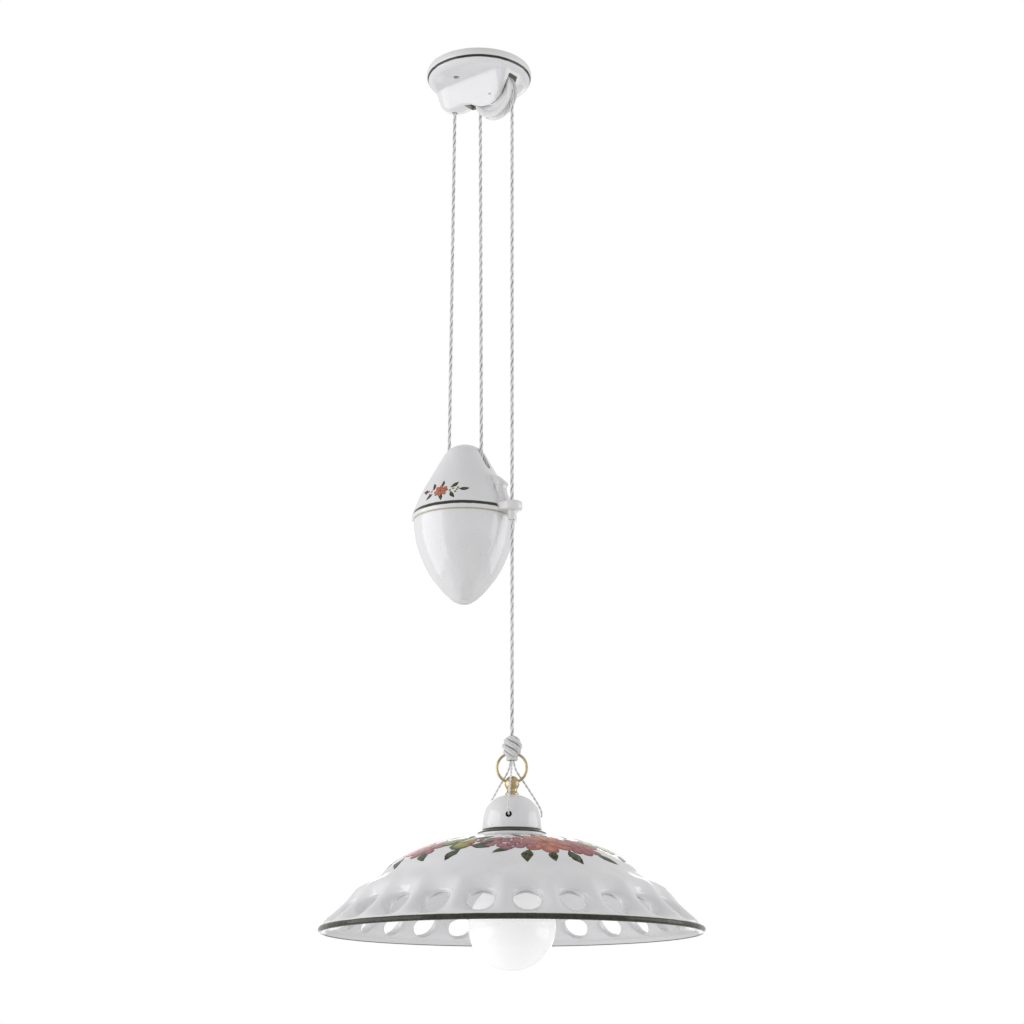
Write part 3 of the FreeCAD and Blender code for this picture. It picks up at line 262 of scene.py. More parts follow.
def white_glaze(name, lines=(), wobble=0.0004):
    """White tin glaze over clay: thin over edges, uneven in gloss. lines are painted bands
    (centre x, least and most distance from that upright line, least and most height, colour)."""
    material, shader = new_finish(name)
    cloud = speckle(material, 22, 4.0)
    body = graded(
        material, cloud,
        (0.3, tuple(c * 0.965 for c in GLAZE_WHITE)), (0.62, GLAZE_WHITE), (0.85, (0.825, 0.823, 0.82)),
    )
    edge = put_node(material, "ShaderNodeNewGeometry").outputs["Pointiness"]
    body = blended(material, ranged(material, edge, 0.52, 0.6), body, (0.78, 0.76, 0.73))
    specks = ranged(material, speckle(material, 380, 1.0), 0.775, 0.8)
    body = blended(material, specks, body, (0.5, 0.44, 0.36))
    gloss = ranged(material, speckle(material, 60, 3.0), 0.3, 0.7, 0.10, 0.17)
    shape = put_node(material, "ShaderNodeSeparateXYZ")
    join(material, object_place(material), shape.inputs["Vector"])
    shake = figure(material, "MULTIPLY", ranged(material, speckle(material, 70, 2.0), 0, 1, -1, 1), wobble)
    painted = 0.0
    for centre, near, far, low, high, colour in lines:
        aside = figure(material, "SUBTRACT", shape.outputs["X"], centre * 0.001)
        squares = [figure(material, "POWER", way, 2) for way in (aside, shape.outputs["Y"])]
        reach = figure(material, "POWER", figure(material, "ADD", *squares), 0.5)
        height = figure(material, "ADD", shape.outputs["Z"], shake)
        inside = figure(
            material, "MULTIPLY",
            band(material, height, low * 0.001, high * 0.001),
            band(material, reach, near * 0.001, far * 0.001),
        )
        brushed = graded(
            material, speckle(material, 240, 2.0),
            (0.3, colour), (0.75, tuple(c * 2.4 + 0.006 for c in colour)),
        )
        body = blended(material, inside, body, brushed)
        painted = figure(material, "MAXIMUM", inside, painted)
    if lines:
        join(material, ranged(material, painted, 0, 1, 0.35, 0.08), shader.inputs["Coat Weight"])
        join(material, ranged(material, painted, 0, 1, 0.5, 0.3), shader.inputs["Specular IOR Level"])
    else:
        fix(shader, Coat_Weight=0.35)
    join(material, body, shader.inputs["Base Color"])
    join(material, gloss, shader.inputs["Roughness"])
    fix(shader, IOR=1.52, Coat_Roughness=0.05)
    roughen(material, shader, speckle(material, 45, 2.0), 0.0012)
    roughen(material, shader, speckle(material, 520, 2.0), 0.00006)
    return material


def arc(start, end, radius, steps):
    """Points from start up to but not on end. A positive radius bulges to the left of the way along."""
    start, end = np.array(start, float), np.array(end, float)
    chord = end - start
    half = np.linalg.norm(chord) / 2
    left = np.array((-chord[1], chord[0])) / (2 * half)
    side = 1 if radius > 0 else -1
    centre = (start + end) / 2 - left * side * math.sqrt(radius**2 - half**2)
    a, b = (math.atan2(*(p - centre)[::-1]) for p in (start, end))
    sweep = (b - a + math.pi) % (2 * math.pi) - math.pi
    turns = a + sweep * np.arange(steps) / steps
    return [tuple(centre + abs(radius) * np.array((math.cos(t), math.sin(t)))) for t in turns]


def stacked(levels, closed=False):
    """Points and faces between loops of equal length, filled at both ends unless the last joins the first."""
    levels = [np.asarray(level, float) for level in levels]
    wide, points, faces = len(levels[0]), np.concatenate(levels), []
    for i in range(len(levels) if closed else len(levels) - 1):
        low, high = i * wide, (i + 1) % len(levels) * wide
        for j in range(wide):
            k = (j + 1) % wide
            faces.append((low + j, low + k, high + k, high + j))
    if not closed:
        faces.append(tuple(range(wide))[::-1])
        faces.append(tuple(range(len(points) - wide, len(points))))
    return points, faces


def level_ring(radius, height, angles):
    """Points round the upright axis."""
    return np.column_stack([radius * np.cos(angles), radius * np.sin(angles), np.full(len(angles), height)])


def full_turn(steps):
    """Even angles round a circle."""
    return np.arange(steps) * 2 * math.pi / steps


def lathe(profile, middle=(0, 0, 0), steps=128, closed=False, lying=False):
    """Points and faces of an outline of (radius, height) turned about an upright line, or one along Y."""
    levels = [level_ring(radius, height, full_turn(steps)) for radius, height in profile]
    if lying:
        levels = [level[:, [0, 2, 1]] for level in levels]
    points, faces = stacked(levels, closed)
    return points + np.array(middle), faces


def prism(outline, axis, low, high):
    """A closed block: an outline of two coordinates, drawn out along the third."""
    outline = np.asarray(outline, float)
    return stacked([np.insert(outline, axis, level, axis=1) for level in (low, high)])


def drill(start, end, radius, sides=40):
    """A closed round bar from one point to another."""
    start, end = Vector(start), Vector(end)
    turned = (end - start).to_track_quat("Z", "X")
    ends = []
    for centre in (start, end):
        ends.append([
            centre + turned @ Vector((radius * math.cos(a), radius * math.sin(a), 0))
            for a in full_turn(sides)
        ])
    return stacked(ends)


def carve(piece, *tools, sharp=32):
    """Cuts closed shapes, given as points and faces in millimetres, out of a piece."""
    for tool_shape in tools:
        tool = make_piece("carving_tool", *tool_shape)
        cut = piece.modifiers.new("cut", "BOOLEAN")
        cut.operation, cut.solver, cut.object = "DIFFERENCE", "EXACT", tool
        bpy.context.view_layer.update()
        carved = bpy.data.meshes.new_from_object(piece.evaluated_get(bpy.context.evaluated_depsgraph_get()))
        piece.modifiers.clear()
        piece.data = carved
        bpy.data.objects.remove(tool)
    piece.data.polygons.foreach_set("use_smooth", [True] * len(piece.data.polygons))
    piece.data.set_sharp_from_angle(angle=math.radians(sharp))


PLATE_FACE = 16.0
PLATE_HOLLOW = 57.0
EDGE_RADIUS, EDGE_DEPTH = 59.4, 14.2  # where the plate's rounded edge meets its face
plate_outline = [
    (PLATE_HOLLOW, -10), (PLATE_HOLLOW, -1.2), (57.6, -0.3), (58.6, 0), (64, 0), (65, -3), (65, -6),
    (64.8, -7.6), (64.2, -9.4), (63.2, -11.2), (61.6, -12.8), (EDGE_RADIUS, -EDGE_DEPTH),
]
belly = np.array([
    (-64, 0), (-60.5, 14), (-58, 25), (-54.5, 33), (-50, 38), (-42, 41.6), (-30, 42), (-18, 41.3),
    (-6, 44), (2, 49.5), (12, 54), (24, 55.8), (33, 52), (40, 45.5), (47, 34), (52, 24), (57, 10),
    (61, 0),
])
half_widths = np.array([
    (-64, 5), (-59, 11), (-54, 15), (-46, 18.5), (-36, 20.5), (30, 21.5), (42, 21), (50, 19), (56, 15),
    (61, 8),
])
SOFT_CREASE = 2.4


def rose_depth(x, y):
    """How deep the plate and its housing hang under the ceiling."""
    middle = np.interp(x, belly[:, 0], belly[:, 1])
    half = np.interp(x, half_widths[:, 0], half_widths[:, 1])
    wall = PLATE_FACE + (half - np.abs(y)) * 3.1
    housing = (middle + wall - np.sqrt((middle - wall) ** 2 + 8**2)) / 2 + 1.6
    return (PLATE_FACE + housing + np.sqrt((PLATE_FACE - housing) ** 2 + SOFT_CREASE**2)) / 2


angles = full_turn(180)
levels = [level_ring(radius, height, angles) for radius, height in plate_outline]
for radius in np.r_[np.arange(57.5, 3, -0.95), 1.5]:
    x, y = radius * np.cos(angles), radius * np.sin(angles)
    depth = rose_depth(x, y)
    fade = min(1, (EDGE_RADIUS - radius) / 5)
    edge_depth = EDGE_DEPTH + (PLATE_FACE - EDGE_DEPTH) * math.sin(fade * math.pi / 2)
    rounded = (PLATE_FACE - edge_depth) * np.clip(1 - (depth - PLATE_FACE) / 6, 0, 1)
    levels.append(np.column_stack([x, y, rounded - depth]))
rose_glaze = white_glaze("rose_glaze", lines=[(0, 61.5, 66, -11.6, -8.9, OLIVE_BLACK)], wobble=0.0003)
rose = make_piece(
    "ceiling_rose_cast", *stacked(levels), rose_glaze, body="rose", slot="white_glaze",
    stands_for=("ceiling_rose",),
)
SCREW_TURN = math.radians(-107.5)
SCREW_REACH = 33.5
holes = [
    prism([(-17.6, -84), (-17.6, -37), (-7, -9), (54, -9), (54, -20), (71, -20), (71, -84)], 1, -8, 8),
    prism([(-48, -11), (-23, -11), (-23, 11), (-48, 11)], 2, -33, -9),
    drill((-39, 0, -50), (-39, 0, -25), 3.2),
]
for side in (1, -1):
    x, y = side * SCREW_REACH * math.cos(SCREW_TURN), side * SCREW_REACH * math.sin(SCREW_TURN)
    holes += [drill((x, y, -30), (x, y, 5), 2.4), drill((x, y, -30), (x, y, -12), 4.0)]
carve(rose, *holes)

# bare clay on the faces that look inward, darkened as painted shade
INNER_WALL = 2.4
biscuit_with_painted_shade, biscuit_with_painted_shade_shader = new_finish("biscuit_clay_painted_shade")
grog = speckle(biscuit_with_painted_shade, 260, 4.0)
tint(biscuit_with_painted_shade, biscuit_with_painted_shade_shader, grog, (0.3, (0.27, 0.245, 0.215)), (0.7, (0.35, 0.32, 0.285)))
dull_by(biscuit_with_painted_shade, biscuit_with_painted_shade_shader, grog, 0.3, 0.7, 0.7, 0.85)
roughen(biscuit_with_painted_shade, biscuit_with_painted_shade_shader, speckle(biscuit_with_painted_shade, 600, 3.0), 0.0001)
rose.data.materials.append(biscuit_with_painted_shade)
middles = np.empty(len(rose.data.polygons) * 3)
rose.data.polygons.foreach_get("center", middles)
x, y, z = middles.reshape(-1, 3).T * 1000
inside = (np.hypot(x, y) < PLATE_HOLLOW + 0.2) & (-z < rose_depth(x, y) - INNER_WALL)
rose.data.polygons.foreach_set("material_index", inside.astype(int))

# ---- pulleys -------------------------------------------------------------------------------------
# Two grooved wheels of white glazed porcelain, each on a brass bush and a steel pin: one inside the
# rose's lobe and one inside the counterweight's cap.


def wheel(name, node, body, x, z):
    side = [
        (6.15, 6.5), (12, 6.5), (12.8, 6.1), (13.6, 5.3), (20.5, 5.1), (21.6, 5.6), (23, 6.3),
        (27.4, 6.5), (28.5, 6.1), (29, 5.2),
    ]
    groove = [(28.7, 4.3), (27.6, 3.6), (26, 3.1), (24.6, 2.75), (23.5, 2.2), (22.7, 1.2)]
    profile = side + groove + [(22.42, 0)] + [(r, -w) for r, w in (side + groove)[::-1]]
    make_piece(
        name, *lathe(profile, (x, 0, z), closed=True, lying=True), white_glaze(name + "_glaze"),
        body=body, slot="white_glaze", stands_for=(node,),
    )


wheel("rose_wheel", "rose_pulley", "rose_pulley", 27, -41)
pin = [(0.2, -13.4), (2.5, -13.4), (3, -12.9), (3, 12.9), (2.5, 13.4), (0.2, 13.4)]
pin_metal, pin_shader = new_finish("pin_steel")
rubbed = speckle(pin_metal, 700)
tint(pin_metal, pin_shader, rubbed, (0.3, (0.5, 0.5, 0.5)), (0.7, (0.64, 0.64, 0.63)))
dull_by(pin_metal, pin_shader, rubbed, 0.3, 0.7, 0.2, 0.36)
fix(pin_shader, Metallic=1)
roughen(pin_metal, pin_shader, rubbed, 0.00005)
make_piece(
    "rose_pin", *lathe(pin, (27, 0, -41), 40, lying=True), pin_metal, body="rose", slot="steel",
    stands_for=("rose_axle",),
)
wheel("weight_wheel", "weight_pulley", "weight_pulley", -18.5, -533)

# ---- cord ----------------------------------------------------------------------------------------
# Three white textile-covered conductors twisted into one lamp cord. It leaves the rose, runs down round
# the counterweight's pulley, up over the rose's pulley and down through the arm to the lamp's knot.

STRAND_THICK = 2.12
LAY = 33.0  # one turn of the twist
STRAND_SIDES = 12
ROUTE_STEP = 1.5  # between the rings of a strand
rose_wheel = (27.0, -41.0)
weight_wheel = (-18.5, -533.0)
WHEEL_PITCH = 25.0
END_GAP = 0.05
knot_top = 66.5 - 905.5  # over it the cord is free

textile, textile_shader = new_finish("white_textile")
weave_place = put_node(textile, "ShaderNodeUVMap", uv_map="weave").outputs["UV"]
braids = []
for lean in (34, -34):
    turned = put_node(textile, "ShaderNodeMapping")
    turned.inputs["Rotation"].default_value[2] = math.radians(lean)
    join(textile, weave_place, turned.inputs["Vector"])
    braid = put_node(textile, "ShaderNodeTexWave", bands_direction="X")
    fix(braid, Scale=0.62, Distortion=0.6, Detail_Scale=3.0)
    join(textile, turned.outputs["Vector"], braid.inputs["Vector"])
    braids.append(braid.outputs["Fac"])
woven = figure(textile, "MAXIMUM", *braids)
fuzz = speckle(textile, 2600, 2.0, 0.7)
textile_height = figure(textile, "ADD", woven, figure(textile, "MULTIPLY", fuzz, 0.6))
yarn = graded(textile, speckle(textile, 60), (0.35, (0.93, 0.93, 0.93)), (0.7, (0.97, 0.97, 0.97)))
# the weave's low threads are painted a little darker, as painted shade in its hollows
yarn = blended(textile, ranged(textile, textile_height, 0.3, 1.1), (0.88, 0.88, 0.875), yarn)
# painted shade in the valleys where the strands meet, patchy along the cord, laid over the yarn's colour
painted_valley_shade = put_node(textile, "ShaderNodeAttribute", attribute_name="valley").outputs["Fac"]
painted_valley_shade = figure(textile, "MULTIPLY", painted_valley_shade, ranged(textile, speckle(textile, 45, 2.0), 0.4, 0.62, 0.25, 1))
join(textile, blended(textile, painted_valley_shade, yarn, (0.012, 0.012, 0.012)), textile_shader.inputs["Base Color"])
fix(textile_shader, Roughness=0.85, Sheen_Weight=0.3)
roughen(textile, textile_shader, textile_height, 0.00018)


def smooth_route(points, weights=None):
    """Even points in millimetres along the smooth curve that a few route points steer."""
    curve = bpy.data.curves.new("route", "CURVE")
    curve.dimensions = "3D"
    spline = curve.splines.new("NURBS")
    spline.points.add(len(points) - 1)
    for i, (point, place) in enumerate(zip(spline.points, points)):
        point.co = (*place, weights[i] if weights else 1)
    spline.order_u = min(3, len(points))
    spline.use_endpoint_u = True
    spline.use_bezier_u = weights is not None
    spline.resolution_u = 24
    holder = bpy.data.objects.new("route", curve)
    bpy.context.scene.collection.objects.link(holder)
    bpy.context.view_layer.update()
    line = bpy.data.meshes.new_from_object(holder)
    places = np.array([v.co[:] for v in line.vertices])
    bpy.data.objects.remove(holder)
    steps = np.linalg.norm(np.diff(places, axis=0), axis=1)
    places = places[np.r_[True, steps > 1e-5]]
    along = np.r_[0, np.cumsum(np.linalg.norm(np.diff(places, axis=0), axis=1))]
    count = max(2, round(along[-1] / ROUTE_STEP)) + 1
    even = np.linspace(0, along[-1], count)
    return np.column_stack([np.interp(even, along, places[:, k]) for k in range(3)]), along[-1]


def rings_round(centres, size, across, over):
    """A ring of points about each centre, in the plane of two directions."""
    turn = full_turn(STRAND_SIDES)[None, :, None]
    return centres[:, None, :] + size * (np.cos(turn) * across[:, None, :] + np.sin(turn) * over[:, None, :])


def strand_tube(line, offset, turns, radius):
    """Rings of a strand that winds about a line, its frame square to the line and steady along it."""
    ahead = np.gradient(line, axis=0)
    ahead /= np.linalg.norm(ahead, axis=1)[:, None]
    side = np.cross(ahead[0], (0, 1, 0) if abs(ahead[0][1]) < 0.9 else (1, 0, 0))
    sides = []
    for direction in ahead:
        side = side - direction * side.dot(direction)
        side /= np.linalg.norm(side)
        sides.append(side)
    sides = np.array(sides)
    others = np.cross(ahead, sides)
    centre = line + offset * (np.cos(turns)[:, None] * sides + np.sin(turns)[:, None] * others)
    run = np.gradient(centre, axis=0)
    run /= np.linalg.norm(run, axis=1)[:, None]
    across = sides - run * np.sum(sides * run, axis=1)[:, None]
    across /= np.linalg.norm(across, axis=1)[:, None]
    return rings_round(centre, radius, across, np.cross(run, across))


def tube_faces(rings, first):
    """Faces of a closed tube of so many rings, from its first point's number."""
    faces = []
    for ring in range(rings - 1):
        for side in range(STRAND_SIDES):
            a = first + ring * STRAND_SIDES + side
            b = first + ring * STRAND_SIDES + (side + 1) % STRAND_SIDES
            faces.append((a, b, b + STRAND_SIDES, a + STRAND_SIDES))
    foot = range(first, first + STRAND_SIDES)
    faces.append(tuple(foot)[::-1])
    faces.append(tuple(i + (rings - 1) * STRAND_SIDES for i in foot))
    return faces


def mark_weave(piece, thick):
    """Lays the braid's pattern round and along each strand, in millimetres."""
    weave = piece.data.uv_layers.new(name="weave")
    spots = []
    for polygon in piece.data.polygons:
        sides = [i % STRAND_SIDES for i in polygon.vertices]
        wraps = len(sides) == 4 and max(sides) - min(sides) == STRAND_SIDES - 1
        for i, side in zip(polygon.vertices, sides):
            if wraps and side == 0:
                side = STRAND_SIDES
            spots.append((side / STRAND_SIDES * thick * math.pi, (i // STRAND_SIDES) * ROUTE_STEP))
    weave.data.foreach_set("uv", np.array(spots, np.float32).ravel())


def colour_points(piece, name, colours):
    """Keeps a colour for each point of a piece, under a name that a finish reads."""
    layer = piece.data.color_attributes.new(name, "FLOAT_COLOR", "POINT")
    layer.data.foreach_set("color", np.array(colours, np.float32).ravel())


def mark_valleys(piece, points, cores, deep, shallow):
    """Paints shade on the strands where they meet, by their distance in millimetres from the cord's own
    middle.
    """
    far = np.linalg.norm(points - cores, axis=1)
    shade = np.clip((shallow - far) / (shallow - deep), 0, 1)
    colour_points(piece, "valley", np.column_stack([shade, shade, shade, np.ones(len(shade))]))


def bundle(name, strands, thick, **holders):
    """A piece of textile strands, each given as its rings: (the piece, its points)."""
    points, faces = np.empty((0, 3)), []
    for rings in strands:
        faces += tube_faces(len(rings), len(points))
        points = np.concatenate([points, rings.reshape(-1, 3)])
    piece = make_piece(name, points, faces, textile, slot="white_cord", sharp=None, **holders)
    mark_weave(piece, thick)
    return piece, points


def cores_of(line, strands):
    """For each point of the strands that wind about a line, the line's own point."""
    return np.tile(np.repeat(line, STRAND_SIDES, axis=0), (strands, 1))


def twisted_cord(name, route, start, stands_for, weights=None):
    """One stretch of the three-strand cord along its route. start is how much of the cord comes before it."""
    line, length = smooth_route(route, weights)
    run = np.linspace(start, start + length, len(line))
    strands = [
        strand_tube(line, STRAND_THICK / math.sqrt(3), run / LAY * 2 * math.pi + turn, STRAND_THICK / 2)
        for turn in full_turn(3)
    ]
    piece, points = bundle(name, strands, STRAND_THICK, stands_for=(stands_for,))
    mark_valleys(piece, points, cores_of(line, 3), deep=1.25, shallow=1.7)
    return piece, line * 0.001, length


def between(first, second):
    """Three route points of a taut straight stretch."""
    (x0, z0), (x1, z1) = first, second
    return [(x0, 0, z0), ((x0 + x1) / 2, 0, (z0 + z1) / 2), (x1, 0, z1)]


def half_round(wheel, side):
    """Route points and weights of a half turn on a wheel, over it (1) or under it (-1)."""
    (x, z), r = wheel, WHEEL_PITCH
    far = z + side * r
    corners = [(x - r, 0, z), (x - r, 0, far), (x, 0, far), (x + r, 0, far), (x + r, 0, z)]
    return corners, [1, math.sqrt(0.5), 1, math.sqrt(0.5), 1]


sides = (-WHEEL_PITCH, WHEEL_PITCH)
weight_left, weight_right = ((weight_wheel[0] + r, weight_wheel[1] + END_GAP) for r in sides)
rose_left, rose_right = ((rose_wheel[0] + r, rose_wheel[1] - END_GAP) for r in sides)
anchor = (-39.0, -42 - END_GAP)
cord_foot = (rose_right[0], knot_top + END_GAP)
stretches = [
    ("anchor_cord", "cord_anchor_run", between(anchor, weight_left), None),
    ("weight_cord_loop", "cord_weight_loop", *half_round(weight_wheel, -1)),
    ("middle_cord", "cord_middle_run", between(weight_right, rose_left), None),
    ("rose_cord_loop", "cord_rose_loop", *half_round(rose_wheel, 1)),
    ("lamp_cord", "cord_lamp_run", between(rose_right, cord_foot), None),
]
used = 0.0
for name, node, route, weights in stretches:
    piece, path, length = twisted_cord(name, route, used, node, weights)
    used += length
    start, end = path[0], path[-1]
    if name == "anchor_cord":
        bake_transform(piece)
    elif name == "middle_cord":
        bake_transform(piece)
    elif name == "lamp_cord":
        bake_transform(piece)
    else:
        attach(piece, "counterweight" if name == "weight_cord_loop" else "rose")

# ---- counterweight -------------------------------------------------------------------------------
# An egg of white glazed earthenware in two halves with cork between them, weighted inside. Its cap has a
# slot on each side for the cords, a painted sprig, a brushed olive-black line and an arm with a bush for
# the lamp's cord.

WEIGHT_X, CAP_TOP, EGG_TOP = -18.5, -485.0, -579.5
cap_outer = (
    [(0.4, 0)] + arc((2, -0.1), (16, -4.5), 30.7, 8)[1:] + arc((16, -4.5), (26, -15.5), 25, 8)
    + [(26, -15.5), (31, -24.5), (37, -35.5)] + arc((43.9, -48), (57, -75.3), 159, 8)
    + arc((57, -75.3), (60.8, -86.6), 81, 6)
    + [(60.8, -86.6), (61.5, -87.7), (61.95, -89.2), (62, -90.8), (61.8, -92.3), (61.1, -93)]
)
cap_inner = [
    (54.6, -93), (54, -92.2), (54, -87), (46.5, -66), (38.2, -51.2), (28, -33), (19, -20), (11, -11.6),
    (0.4, -8),
]
cap_glaze = white_glaze("cap_glaze", lines=[(WEIGHT_X, 59.2, 64, -573.8, -569.8, OLIVE_BLACK)], wobble=0.0009)
cap_glaze_plain = white_glaze("cap_arm_glaze")
cap = make_piece(
    "weight_cap_cast", *lathe(cap_outer + cap_inner, (WEIGHT_X, 0, CAP_TOP), 160), cap_glaze,
    body="counterweight", slot="white_glaze", stands_for=("weight_cap",),
)


def long_hole(near, far, half):
    """The outline of a slot with round ends, along X."""
    turns = np.linspace(-math.pi / 2, math.pi / 2, 13)
    right = [(far - half + half * math.cos(t), half * math.sin(t)) for t in turns]
    return right + [(near + half - half * math.cos(t), -half * math.sin(t)) for t in turns]


cord_ways = []
for side in (1, -1):
    outline = [(WEIGHT_X + side * x, side * y) for x, y in long_hole(18, 37, 4.2)]
    cord_ways.append(prism(outline, 2, CAP_TOP - 41.8, CAP_TOP + 2))
carve(cap, *cord_ways, sharp=40)

# the arm: an eaved web that flows out of the cap down to a round eye
web = [
    (-45.6, 46, 2.2), (-46.2, 49, 4.6), (-48, 52, 6.4), (-51, 55.4, 7.5), (-54.5, 59, 8.2),
    (-57, 61.4, 8.6), (-58.4, 61.9, 8.7), (-59.4, 61.1, 8.4), (-60.6, 60.2, 8), (-64, 60.1, 7.7),
    (-69, 60.8, 7.7), (-74, 62.2, 8.2), (-78, 63, 9.2), (-81.5, 63.4, 10.6), (-85, 63.4, 11.4),
]
turns = np.linspace(-math.pi / 2, math.pi / 2, 25)


def blunt_nose(x, reach, half):
    """The outline of a blunt nose that starts at x."""
    return [(x + reach * math.cos(t) ** 0.7, half * math.copysign(abs(math.sin(t)) ** 0.8, t)) for t in turns]


levels = []
for down, end, half in web:
    start = np.interp(-down, [45, 48, 75.3, 87], [38, 40.5, 53, 56])
    nose = min(7.0, end - start - 1)
    root = [
        (end - nose - 3, half + 0.6), (start + 5.5, half + 2.6), (start + 2.5, half + 5.2),
        (start, half + 9), (start - 4, half + 9),
    ]
    root = [(WEIGHT_X + min(x, end - nose - 0.5 * k), y) for k, (x, y) in enumerate(root, 1)]
    loop = blunt_nose(WEIGHT_X + end - nose, nose, half) + root + [(x, -y) for x, y in root[::-1]]
    levels.append([(x, y, CAP_TOP + down) for x, y in loop])
make_piece(
    "weight_arm_web", *stacked(levels), cap_glaze_plain, body="counterweight", slot="white_glaze",
    stands_for=("weight_cap",), sharp=55,
)
eye_edges = (
    (-82.4, 1.6), (-82.7, 0.7), (-83.5, 0.1), (-84.5, 0), (-90.6, 0), (-91.6, 0.2), (-92.3, 0.9),
    (-92.5, 1.8),
)
levels = []
for down, inset in eye_edges:
    half = 12 - inset
    loop = [(WEIGHT_X + 70.5 + half * math.cos(t), half * math.sin(t)) for t in turns]
    loop += [(WEIGHT_X + 56.5 + inset, side * half * 1.1) for side in (1, -1)]
    levels.append([(x, y, CAP_TOP + down) for x, y in loop])
tongue_piece = make_piece(
    "weight_arm_eye", *stacked(levels), cap_glaze_plain, body="counterweight", slot="white_glaze",
    stands_for=("weight_cap",), sharp=40,
)
eye_drill = drill((52, 0, CAP_TOP - 96), (52, 0, CAP_TOP - 40), 5.15)
carve(tongue_piece, eye_drill, sharp=40)

bush_profile = [
    (2.9, 1.5), (6.3, 1.5), (6.8, 1.2), (7, 0.6), (7, 0), (5, 0), (5, -9.6), (5.9, -10.1), (5.9, -10.8),
    (5.4, -14), (4.4, -20.3), (4.1, -21), (3.2, -21), (2.9, -20.5),
]
make_piece(
    "arm_bush", *lathe(bush_profile, (52, 0, CAP_TOP - 82.5), 64, closed=True), white_glaze("bush_porcelain"),
    body="counterweight", slot="white_plastic", stands_for=("guide_bush",),
)

EGG_HIGH = 99.5
egg_shares = ((1, 0), (0.9145, 0.3258), (0.6445, 0.6727), (0.2612, 0.9391))
egg_corners = [(60 * across, -EGG_HIGH * down) for across, down in egg_shares]
egg_foot = (0.3, -EGG_HIGH)
egg_profile = [(59.2, 0), (59.8, -0.3)] + arc(egg_corners[0], egg_corners[1], 118, 12)[1:]
egg_profile += arc(egg_corners[1], egg_corners[2], 134, 12) + arc(egg_corners[2], egg_corners[3], 132.5, 12)
reach, rise = egg_corners[3][0], EGG_HIGH + egg_corners[3][1]
egg_profile += arc(egg_corners[3], egg_foot, (reach**2 + rise**2) / (2 * rise), 10) + [egg_foot]
egg_profile += [
    (0.3, -93.5), (12, -87.5), (21, -79.5), (32.8, -63), (41, -49), (49, -30.5), (52.6, -16), (54.2, 0),
]
make_piece(
    "weight_egg_cast", *lathe(egg_profile, (WEIGHT_X, 0, EGG_TOP), 160), white_glaze("egg_glaze"),
    body="counterweight", slot="white_glaze", stands_for=("weight_egg",),
)

# ---- what the lamp hangs on ----------------------------------------------------------------------
# The cord's end is doubled back and bound into a knot on a brass ring. The ring carries a turned brass
# eye, and the three conductors leave the knot, bow outward and go into the cup by three holes.

LAMP_X, CUP_TOP = 52.0, -905.5
KNOT_FOOT, KNOT_TOP = CUP_TOP + 38.5, CUP_TOP + 66.5
FACING = math.radians(38)  # the ring's plane, from the X axis

knot_line = np.array([(LAMP_X, 0, z) for z in np.arange(KNOT_TOP - 0.3, KNOT_FOOT + 0.6, -0.5)])
down = (knot_line[0, 2] - knot_line[:, 2]) / (knot_line[0, 2] - knot_line[-1, 2])
fullness = 0.23 + 0.77 * np.sin(np.clip(down, 0, 1) ** 0.85 * math.pi) ** 0.75
strands = []
for turn in full_turn(4):
    wind = down * 1.7 * math.pi + turn
    across = np.column_stack([np.cos(wind), np.sin(wind), np.zeros(len(wind))])
    aside = np.column_stack([-np.sin(wind), np.cos(wind), np.zeros(len(wind))])
    centres = knot_line + across * (5.9 * fullness)[:, None]
    strands.append(rings_round(centres, (0.9 + 4.7 * fullness)[:, None, None], across, aside))
knot, points = bundle("cord_knot_bound", strands, 6, body="cord_end", stands_for=("cord_knot",))
cores = cores_of(knot_line, 4)
full = np.tile(np.repeat(fullness, STRAND_SIDES), 4)[:, None]  # the valleys swell with the knot
mark_valleys(knot, cores + (points - cores) / full, cores, deep=7.6, shallow=9.0)

THREAD_PITCH = 0.62
threads = []
for top, reach in ((KNOT_TOP - 1.2, 3.2), (KNOT_FOOT + 3.4, 6.0)):
    turns = np.linspace(0, 5 * 2 * math.pi, 5 * 40)
    height = top - turns / (2 * math.pi) * THREAD_PITCH
    coil = np.column_stack([LAMP_X + reach * np.cos(turns), reach * np.sin(turns), height])
    threads.append(strand_tube(coil, offset=0, turns=np.zeros(len(turns)), radius=0.34))
bundle("knot_binding", threads, 0.7, body="cord_end")


def metal(name, colour, dull, rough, tarnish=0.5):
    """A metal with fine scratches along its turning, and dull patches of another colour."""
    material, shader = new_finish(name)
    patches = speckle(material, 140, 4.0)
    tarnished = tuple(c * (1 - tarnish) + d * tarnish for c, d in zip(colour, dull))
    tone = graded(material, patches, (0.35, colour), (0.75, tarnished))
    stretch = put_node(material, "ShaderNodeMapping")
    fix(stretch, Scale=(1, 1, 14))
    join(material, object_place(material), stretch.inputs["Vector"])
    scratches = speckle(material, 500, 3.0, 0.6, stretch.outputs["Vector"])
    scratched = ranged(material, scratches, 0.45, 0.62, 0, 0.25)
    join(material, blended(material, scratched, tone, dull), shader.inputs["Base Color"])
    dull_by(material, shader, patches, 0.3, 0.75, rough, rough + 0.16)
    fix(shader, Metallic=1)
    roughen(material, shader, scratches, 0.00004)
    return material


brass = metal("polished_brass", (0.60, 0.49, 0.29), (0.20, 0.155, 0.075), 0.2, tarnish=0.65)
steel = metal("zinc_steel", (0.60, 0.61, 0.62), (0.38, 0.37, 0.35), 0.28)

RING_CENTRE = CUP_TOP + 30.5
RING_REACH = 16.5
facing = np.array((math.cos(FACING), math.sin(FACING), 0))
square_on = np.array((-facing[1], facing[0], 0))
upright = np.array((0, 0, 1))


